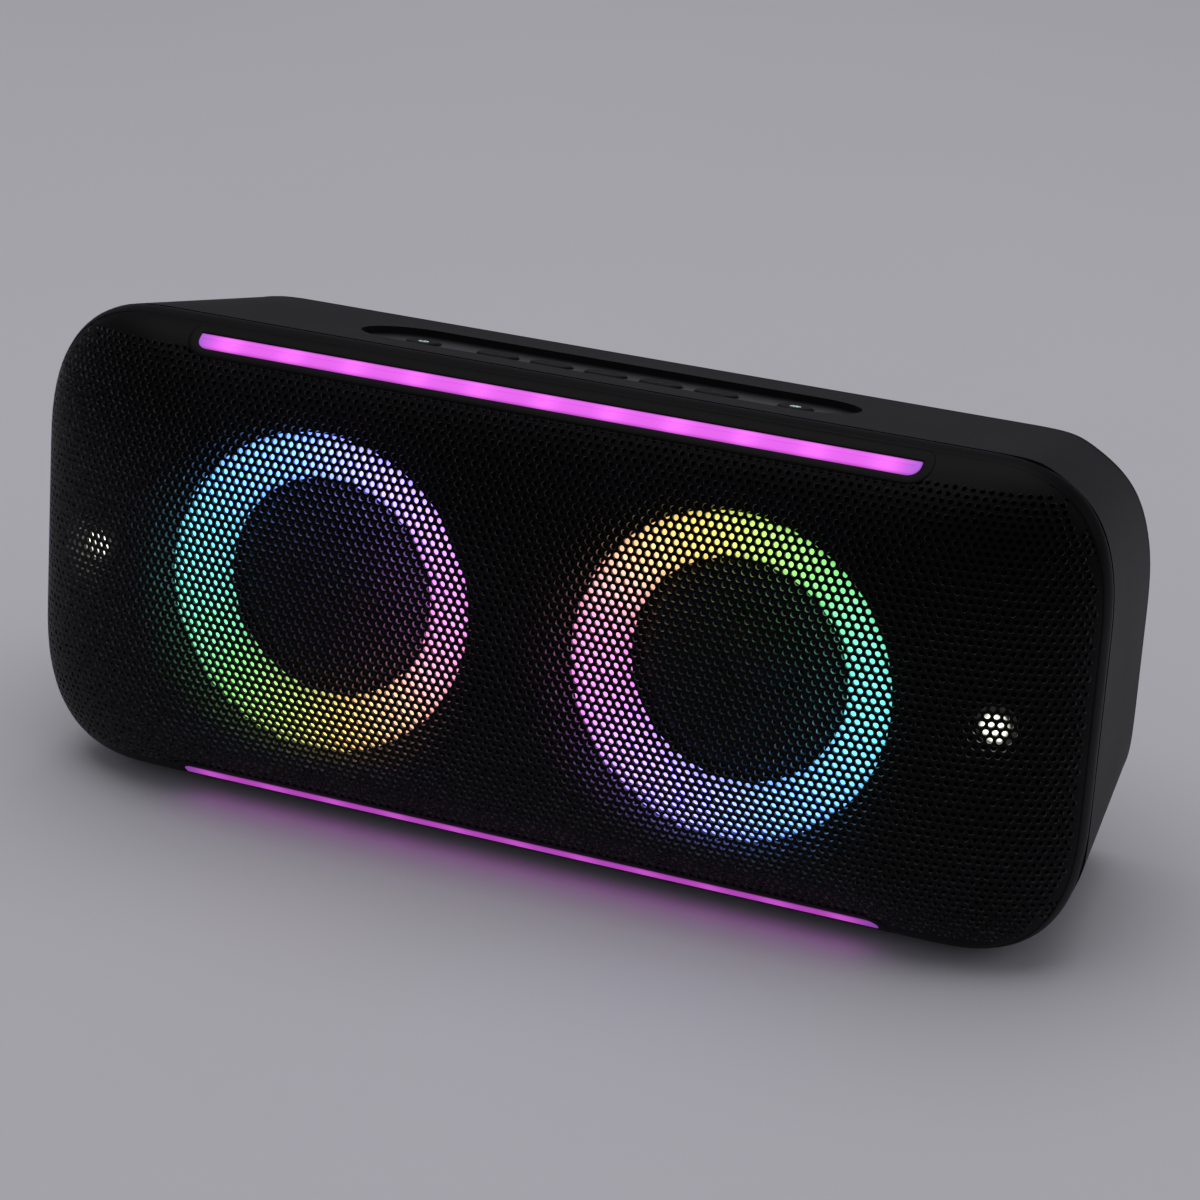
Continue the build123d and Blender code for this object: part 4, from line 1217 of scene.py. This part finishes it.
@dataclass(frozen=True)
class Driver:
    """One woofer with its light ring, seen through the grille."""

    side: Side
    ring_inner: float = 38.1 * MM
    ring_outer: float = 55.1 * MM
    ring_front: float = 10.1 * MM
    ring_back: float = 17.2 * MM
    ring_thickness: float = 3.2 * MM
    ring_sides: int = 144
    ring_steps: int = 36
    ring_rounds: int = 6
    ring_ripple: float = 0.12 * MM
    ring_strength: float = 3.3
    ring_turns: dict[Side, float] = field(default_factory=lambda: {Side.LEFT: 0.04, Side.RIGHT: 0.56})
    cone_rim: float = 30.0 * MM
    cone_front: float = 26.9 * MM
    cone_neck: Flat = (12.8 * MM, 42.9 * MM)
    cone_sheet: float = 0.8 * MM
    cone_sides: int = 96
    cone_steps: int = 18
    cone_curve: float = 0.88
    cone_ribs: int = 4
    rib_height: float = 0.22 * MM
    rib_start: float = 0.08
    cap_rim: float = 14.4 * MM
    cap_rise: float = 4.6 * MM
    cap_base: float = 41.1 * MM
    cap_sheet: float = 0.7 * MM
    cap_sides: int = 72
    cap_steps: int = 14
    roll_middle: float = 34.2 * MM
    roll_radius: float = 2.7 * MM
    roll_base: float = 27.5 * MM
    roll_sheet: float = 0.8 * MM
    roll_gap: float = 0.3 * MM
    foot_half: float = 0.45 * MM
    roll_steps: int = 18
    hollow_steps: int = 12
    roll_crease: float = 50.0
    flange: float = 45.5 * MM

    def build(self, stand: Stand, finishes: Finishes) -> None:
        """Builds the ring, cone, cap and surround."""
        axis = stand.centre(f"light_ring_{self.side.word}")
        middle = Vector((axis.x, 0, axis.z))
        self._ring(stand, middle)
        self._moving(stand, finishes, middle)
        self._surround(stand, finishes, middle)
        log.info("driver %s at x %.0f mm", self.side.word, axis.x / MM)

    def _ring(self, stand: Stand, middle: Vector) -> None:
        """Builds the dished ring with a bead at each edge and shallow rounds between."""
        name = f"rainbow_ring_{self.side.word}"
        turn = self.ring_turns[self.side]
        light = RainbowRing(name, turn, self.ring_strength, self.ring_inner, self.ring_outer).build()
        wide = self.ring_outer - self.ring_inner
        front = []
        for i in range(self.ring_steps + 1):
            share = i / self.ring_steps
            wave = self.ring_ripple * (0.5 - 0.5 * math.cos(FULL_TURN * self.ring_rounds * share))
            depth = self.ring_back + (self.ring_front - self.ring_back) * share
            front.append((self.ring_inner + wide * share, depth + wave))
        back = [
            (self.ring_outer, self.ring_front + self.ring_thickness),
            (self.ring_inner, self.ring_back + self.ring_thickness),
        ]
        ring = lathe(f"ring_diffuser_{self.side.word}", front + back, light, self.ring_sides)
        stand.put(ring, middle)
        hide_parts(f"light_ring_{self.side.word}")

    def _moving(self, stand: Stand, finishes: Finishes, middle: Vector) -> None:
        """Builds the curved cone with its moulded ribs, and the dust cap."""
        neck_r, neck_y = self.cone_neck
        front = []
        for i in range(self.cone_steps + 1):
            share = i / self.cone_steps
            radius = self.cone_rim + (neck_r - self.cone_rim) * share
            depth = self.cone_front + (neck_y - self.cone_front) * share**self.cone_curve
            is_ribbed = self.rib_start < share < 1
            rib = self.rib_height * max(0.0, math.cos(FULL_TURN * self.cone_ribs * share))
            front.append((radius, depth - rib * is_ribbed))
        back = [(radius, depth + self.cone_sheet) for radius, depth in front]
        cone = lathe(f"cone_{self.side.word}", front[::-1] + back, finishes.cone, self.cone_sides)
        body = f"cone_{self.side.word}"
        stand.put(cone, middle, body)
        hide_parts(f"woofer_cone_{self.side.word}")
        dome, inner = [self._dome(sheet) for sheet in (0.0, self.cap_sheet)]
        name = f"dust_cap_{self.side.word}"
        cap = lathe(name, dome + inner[::-1], finishes.surround, self.cap_sides)
        stand.put(cap, middle, body)
        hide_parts(f"woofer_dust_cap_{self.side.word}")

    def _dome(self, sheet: float) -> list[Flat]:
        """Radius and depth of points along the dust cap's dome, drawn in by its sheet."""
        angles = [math.pi / 2 * i / self.cap_steps for i in range(self.cap_steps + 1)]
        rim, rise = self.cap_rim - sheet, self.cap_rise - sheet
        return [(rim * math.sin(a), self.cap_base - rise * math.cos(a)) for a in angles]

    def _surround(self, stand: Stand, finishes: Finishes, middle: Vector) -> None:
        """Builds the rubber half roll with its feet and a bead where they meet."""
        mid, r, base, half = self.roll_middle, self.roll_radius, self.roll_base, self.foot_half
        hollow_r = r - self.roll_sheet
        outside = np.linspace(0, math.pi, self.roll_steps + 1)
        inside = np.linspace(0, math.pi, self.hollow_steps + 1)
        roll = [(mid - r * math.cos(a), base - r * math.sin(a)) for a in outside]
        hollow = [(mid + hollow_r * math.cos(a), base - hollow_r * math.sin(a)) for a in inside]
        inner, outer = self.cone_rim + self.roll_gap, self.flange
        profile = [
            (inner, base + half),
            (inner, base - half),
            (mid - r - 0.25 * MM, base - half),
            *roll,
            (mid + r + 0.3 * MM, base - half),
            (outer - 0.3 * MM, base - half),
            (outer, base),
            (outer, base + half),
            *[(x, y + 0.2 * MM) for x, y in hollow],
            (mid - r + 0.7 * MM, base + half),
        ]
        name = f"surround_{self.side.word}"
        piece = lathe(name, profile, finishes.surround, self.cone_sides, self.roll_crease)
        stand.put(piece, middle)
        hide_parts(f"woofer_surround_{self.side.word}")


@dataclass(frozen=True)
class Strobe:
    """A strobe lamp at one end: stepped lens over a bright cup."""

    side: Side
    radius: float = 6.8 * MM
    steps: int = 5
    face: float = 0.86
    sag: float = 1.9 * MM
    tooth: float = 0.35 * MM
    bevel: float = 0.12 * MM
    rim_depth: float = 2.4 * MM
    sides: int = 48
    crease: float = 25.0

    def build(self, stand: Stand) -> None:
        """Builds the lens, whose own glow stands for the lit lamp in it."""
        low, high = stand.box(f"strobe_lens_{self.side.word}")
        middle = Vector(((low.x + high.x) / 2, low.y, (low.z + high.z) / 2))
        deep = high.y - low.y
        front = [(0.0, 0.0)]
        for i in range(1, self.steps + 1):
            reach = self.radius * self.face * i / self.steps
            sag = self.sag * (reach / self.radius) ** 2
            front += [(reach - self.bevel, sag), (reach, sag + self.tooth)]
        front += [(self.radius, self.rim_depth), (self.radius, deep), (0.0, deep)]
        glow = FacetedLens(f"strobe_glow_{self.side.word}", self.radius).build()
        lens = lathe(f"strobe_cover_{self.side.word}", front, glow, self.sides, self.crease)
        stand.put(lens, middle)
        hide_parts(f"strobe_lens_{self.side.word}")
        log.info("strobe %s", self.side.word)


# ---- Deck and keys ----


class Mark(Enum):
    """The raised mark on a key."""

    POWER = "power"
    WAVES = "bluetooth"
    MINUS = "volume_down"
    PLAY = "play"
    PLUS = "volume_up"
    DOTS = "bass"
    RAYS = "light"


@dataclass(frozen=True)
class Key:
    """One soft key with a dished top, its skirt and its raised mark."""

    mark: Mark
    half_length: float = 7.5 * MM
    half_width: float = 4.5 * MM
    dish: float = 0.28 * MM
    dish_inset: float = 3.8 * MM
    skirt: float = 1.4 * MM
    insets: tuple[float, ...] = (0.0, 0.09, 0.3, 0.62, 0.95, 1.6, 2.6)
    drops: tuple[float, ...] = (0.7, 0.4, 0.14, 0.02, 0.0, 0.10, 0.22)
    least_radius: float = 0.2 * MM
    end_steps: int = 16
    crease: float = 60.0
    round_radius: float = 6.0 * MM
    mark_height: float = 0.12 * MM
    mark_depth: float = 0.1 * MM
    mark_taper: float = 0.99
    stroke: float = 0.24 * MM
    stroke_end: float = 0.4
    lit_colour: Colour = (0.62, 0.86, 0.74)
    lit_strength: float = 0.5

    @property
    def is_lit(self) -> bool:
        """Whether the key's mark is lit."""
        return self.mark in (Mark.POWER, Mark.RAYS)

    def outline(self, inset: float, height: float) -> list[Point]:
        """The key's outline, drawn in by an inset, at a height."""
        radius = max(self.half_width - inset, self.least_radius)
        reach = 0.0 if self.is_lit else self.half_length - self.half_width
        right = arc((reach, 0), radius, -90, 90, self.end_steps)
        left = arc((-reach, 0), radius, 90, 270, self.end_steps)
        return [(x, y, height) for x, y in right + left]

    def build(self, stand: Stand, finishes: Finishes, deck: Matrix) -> None:
        """Builds the key and its mark on the deck.

        Args:
            stand: Where the cabinet stands.
            finishes: The shared finishes.
            deck: The deck's own axes in the cabinet's, z out of it.
        """
        name = self.mark.value
        node = f"{name}_key"
        low, high = stand.box(node)
        middle = deck.inverted() @ ((low + high) / 2)
        corners = [deck.inverted() @ Vector(c) for c in self._reach(stand, node)]
        top = max(c.z for c in corners)
        bottom = min(c.z for c in corners)
        size = Key(self.mark, self.round_radius, self.round_radius) if self.is_lit else self
        levels = [(0.0, bottom + self.skirt)]
        levels += [(inset * MM, top - drop * MM) for inset, drop in zip(self.insets, self.drops)]
        levels.append((self.dish_inset, top - self.dish))
        layers = [size.outline(inset, height) for inset, height in levels]
        cap = stack(f"{name}_cap", layers, finishes.key, crease=self.crease)
        where = deck @ Matrix.Translation((middle.x, middle.y, 0))
        body = f"{node}_body"
        stand.put(cap, where, body)
        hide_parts(node)
        self._mark(stand, finishes, where, top - self.dish, body)
        log.info("key %s", name)

    @staticmethod
    def _reach(stand: Stand, node: str) -> list[Point]:
        """Every vertex of a node in the cabinet's axes."""
        mesh = frame["nodes"][node].data
        return [stand.matrix.inverted() @ v.co for v in mesh.vertices]

    def _lines(self) -> list[list[Flat]]:
        """The mark's strokes as lines in millimetres, on the key's top."""
        minus, upright = [(-1.5, 0), (1.5, 0)], [(0, -1.5), (0, 1.5)]
        if self.mark is Mark.MINUS:
            return [minus]
        if self.mark is Mark.PLUS:
            return [minus, upright]
        if self.mark is Mark.PLAY:
            return [[(-1.1, -1.4), (1.4, 0), (-1.1, 1.4), (-1.1, -1.4)]]
        if self.mark is Mark.POWER:
            return [arc((0, -0.1), 1.5, 130, 410, 20), [(0, 0.2), (0, 1.7)]]
        if self.mark is Mark.WAVES:
            return [arc((0, -1.2), r, 45, 135, 10) for r in (0.7, 1.6, 2.5)]
        if self.mark is Mark.DOTS:
            return [arc((0, 0), r, 0, 360, 20) for r in (0.45, 1.4)]
        turns = [FULL_TURN * i / 8 for i in range(8)]
        rays = [[(r * math.cos(a), r * math.sin(a)) for r in (1.1, 1.8)] for a in turns]
        return [*rays, arc((0, 0), 0.5, 0, 360, 14)]

    def _mark(self, stand: Stand, finishes: Finishes, where: Matrix, height: float, body: str) -> None:
        """Builds the raised strokes of the key's mark."""
        points: list[Point] = []
        faces: list[tuple[int, ...]] = []
        for line in self._lines():
            spots = [Vector((x * MM, y * MM)) for x, y in line]
            for first, second in zip(spots, spots[1:]):
                way = (second - first).normalized()
                side, ahead = way.orthogonal() * self.stroke, way * (self.stroke * self.stroke_end)
                start, end = first - ahead, second + ahead
                flat = [start + side, start - side, end - side, end + side]
                base = len(points)
                points += [(p.x, p.y, height - self.mark_depth) for p in flat]
                taper, top = self.mark_taper, height + self.mark_height
                points += [(p.x * taper, p.y * taper, top) for p in flat]
                faces += [tuple(base + i for i in (4, 5, 6, 7)), tuple(base + i for i in (3, 2, 1, 0))]
                for i in range(4):
                    j = (i + 1) % 4
                    faces.append((base + i, base + j, base + 4 + j, base + 4 + i))
        glow = Glow(f"{self.mark.value}_glow", self.lit_colour, self.lit_strength)
        finish = glow.build() if self.is_lit else finishes.glyph
        mark = make_piece(f"{self.mark.value}_mark", points, faces, [finish])
        stand.put(mark, where, body)


@dataclass(frozen=True)
class Deck:
    """The sunk panel in the top with its seven keys."""

    marks: tuple[Mark, ...] = tuple(Mark)

    def axes(self, stand: Stand) -> Matrix:
        """The deck's own axes in the cabinet's: z along the keys' way out."""
        press = next(j for j in frame["joints"] if j["name"] == "play_press")
        out = -(stand.turn.transposed() @ Vector(press["axis"])).normalized()
        across = Vector((1, 0, 0))
        return Matrix((across, out.cross(across), out)).transposed().to_4x4()

    def build(self, stand: Stand, finishes: Finishes) -> None:
        """Builds the keys."""
        axes = self.axes(stand)
        for mark in self.marks:
            Key(mark).build(stand, finishes, axes)


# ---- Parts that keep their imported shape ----


@dataclass(frozen=True)
class KeptParts:
    """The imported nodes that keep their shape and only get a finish."""

    finishes: Finishes
    wear: dict[str, tuple[str, ...]] = field(
        default_factory=lambda: {
            "baffle": ("front_baffle", "housing_pillars"),
            "housing": ("rear_housing", "rear_cover", "socket_tray", "port_panel"),
            "deck": ("control_deck",),
            "lamp_board": ("bar_led_strips", "ring_led_board", "strobe_board"),
            "board": ("deck_board", "main_board"),
            "former": ("woofer_voice_coil",),
            "spider": ("woofer_spider",),
            "basket": ("woofer_basket",),
            "magnet": ("woofer_magnet",),
            "reflector": ("strobe_reflector",),
            "fastener": ("driver_screws", "housing_screws"),
            "port": ("bass_port",),
            "jack": ("aux_socket", "usb_socket"),
            "socket": ("mic_socket", "dc_socket"),
            "flap": ("port_flap",),
            "pin": ("flap_hinge_pin",),
            "heatsink": ("amp_heatsink",),
            "battery": ("battery_pack",),
            "strap": ("battery_strap",),
            "rubber": ("foot_",),
        }
    )

    def dress(self) -> None:
        """Gives each kept node its finish."""
        for finish, starts in self.wear.items():
            material = getattr(self.finishes, finish)
            names = [n for n in frame["nodes"] if n.startswith(starts)]
            for name in names:
                mesh = frame["nodes"][name].data
                mesh.materials.clear()
                mesh.materials.append(material)
            log.info("finish %s on %s", finish, ", ".join(names))


# ---- Studio ----


@dataclass(frozen=True)
class Studio:
    """Pale floor, soft lights and the camera."""

    floor_half: float = 6.0
    floor_steps: int = 12
    floor_drop: float = 0.2 * MM
    azimuth: float = 23.909
    elevation: float = 25.324
    roll: float = 0.559
    distance: float = 1.219
    aim: Point = (25.47 * MM, -42.56 * MM, 101.5 * MM)
    lens: float = 112.71
    sky: Colour = (0.86, 0.87, 0.95)
    sky_strength: float = 0.20
    lit_spot: Point = (0, 0, 80 * MM)
    softboxes: tuple[tuple[str, Point, float, float], ...] = (
        ("softbox_over", (-0.2, 0.2, 2.2), 2.2, 17.0),
        ("softbox_side", (1.9, 0.6, 1.2), 1.2, 1.5),
    )

    def build(self) -> None:
        """Builds the floor, the lights and the camera."""
        self._floor()
        self._sky()
        for name, place, size, power in self.softboxes:
            self._softbox(name, place, size, power)
        self._camera()
        scene = bpy.context.scene
        scene.view_settings.view_transform = "Standard"
        scene.view_settings.look = "None"

    def _floor(self) -> None:
        """Builds the floor as one large sheet just under the feet."""
        half, steps = self.floor_half, self.floor_steps
        places = [(-half + 2 * half * i / steps) for i in range(steps + 1)]
        points = [(x, y, -self.floor_drop) for y in places for x in places]
        wide = steps + 1
        faces = [
            (j * wide + i, j * wide + i + 1, (j + 1) * wide + i + 1, (j + 1) * wide + i)
            for j in range(steps)
            for i in range(steps)
        ]
        floor = make_piece("studio_floor", points, faces, [PaleFloor().build()])

    def _sky(self) -> None:
        """Gives the room its even, soft fill light."""
        world = bpy.data.worlds.new("studio_room")
        world.use_nodes = True
        background = world.node_tree.nodes["Background"]
        background.inputs["Color"].default_value = (*self.sky, 1.0)
        background.inputs["Strength"].default_value = self.sky_strength
        bpy.context.scene.world = world

    def _softbox(self, name: str, place: Point, size: float, power: float) -> None:
        """Hangs one square softbox that faces the speaker.

        Args:
            name: The light's name.
            place: Where it hangs.
            size: Its side.
            power: Its power in watts.
        """
        light = bpy.data.lights.new(name, "AREA")
        light.shape = "SQUARE"
        light.size = size
        light.energy = power
        lamp = bpy.data.objects.new(name, light)
        lamp.location = place
        down = Vector(self.lit_spot) - Vector(place)
        lamp.rotation_euler = down.to_track_quat("-Z", "Y").to_euler()
        bpy.context.scene.collection.objects.link(lamp)

    def _camera(self) -> None:
        """Sets the camera at its angle, with no shift and no blur."""
        azimuth, elevation = math.radians(self.azimuth), math.radians(self.elevation)
        out = math.cos(elevation)
        back = Vector((math.sin(azimuth) * out, -math.cos(azimuth) * out, math.sin(elevation)))
        lens = bpy.data.cameras.new("camera")
        lens.lens = self.lens
        lens.sensor_width = 36.0
        lens.clip_start = 0.01
        camera = bpy.data.objects.new("camera", lens)
        turn = back.to_track_quat("Z", "Y").to_matrix() @ Matrix.Rotation(math.radians(self.roll), 3, "Z")
        camera.matrix_world = Matrix.Translation(Vector(self.aim) + back * self.distance) @ turn.to_4x4()
        bpy.context.scene.collection.objects.link(camera)
        bpy.context.scene.camera = camera


def main() -> None:
    """Builds the speaker's visible pieces in order, and the studio round them."""
    logging.basicConfig(level=logging.INFO, format="%(name)s: %(message)s")
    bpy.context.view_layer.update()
    stand = Stand()
    finishes = Finishes()
    KeptParts(finishes).dress()
    crown = Crown()
    bars = tuple(LightBar(crown, edge) for edge in Edge)
    for bar in bars:
        bar.build(stand, finishes)
    Grille(crown, bars).build(stand, finishes)
    for side in Side:
        Driver(side).build(stand, finishes)
        Strobe(side).build(stand)
    Deck().build(stand, finishes)
    Studio().build()


if __name__ == "__main__":
    main()
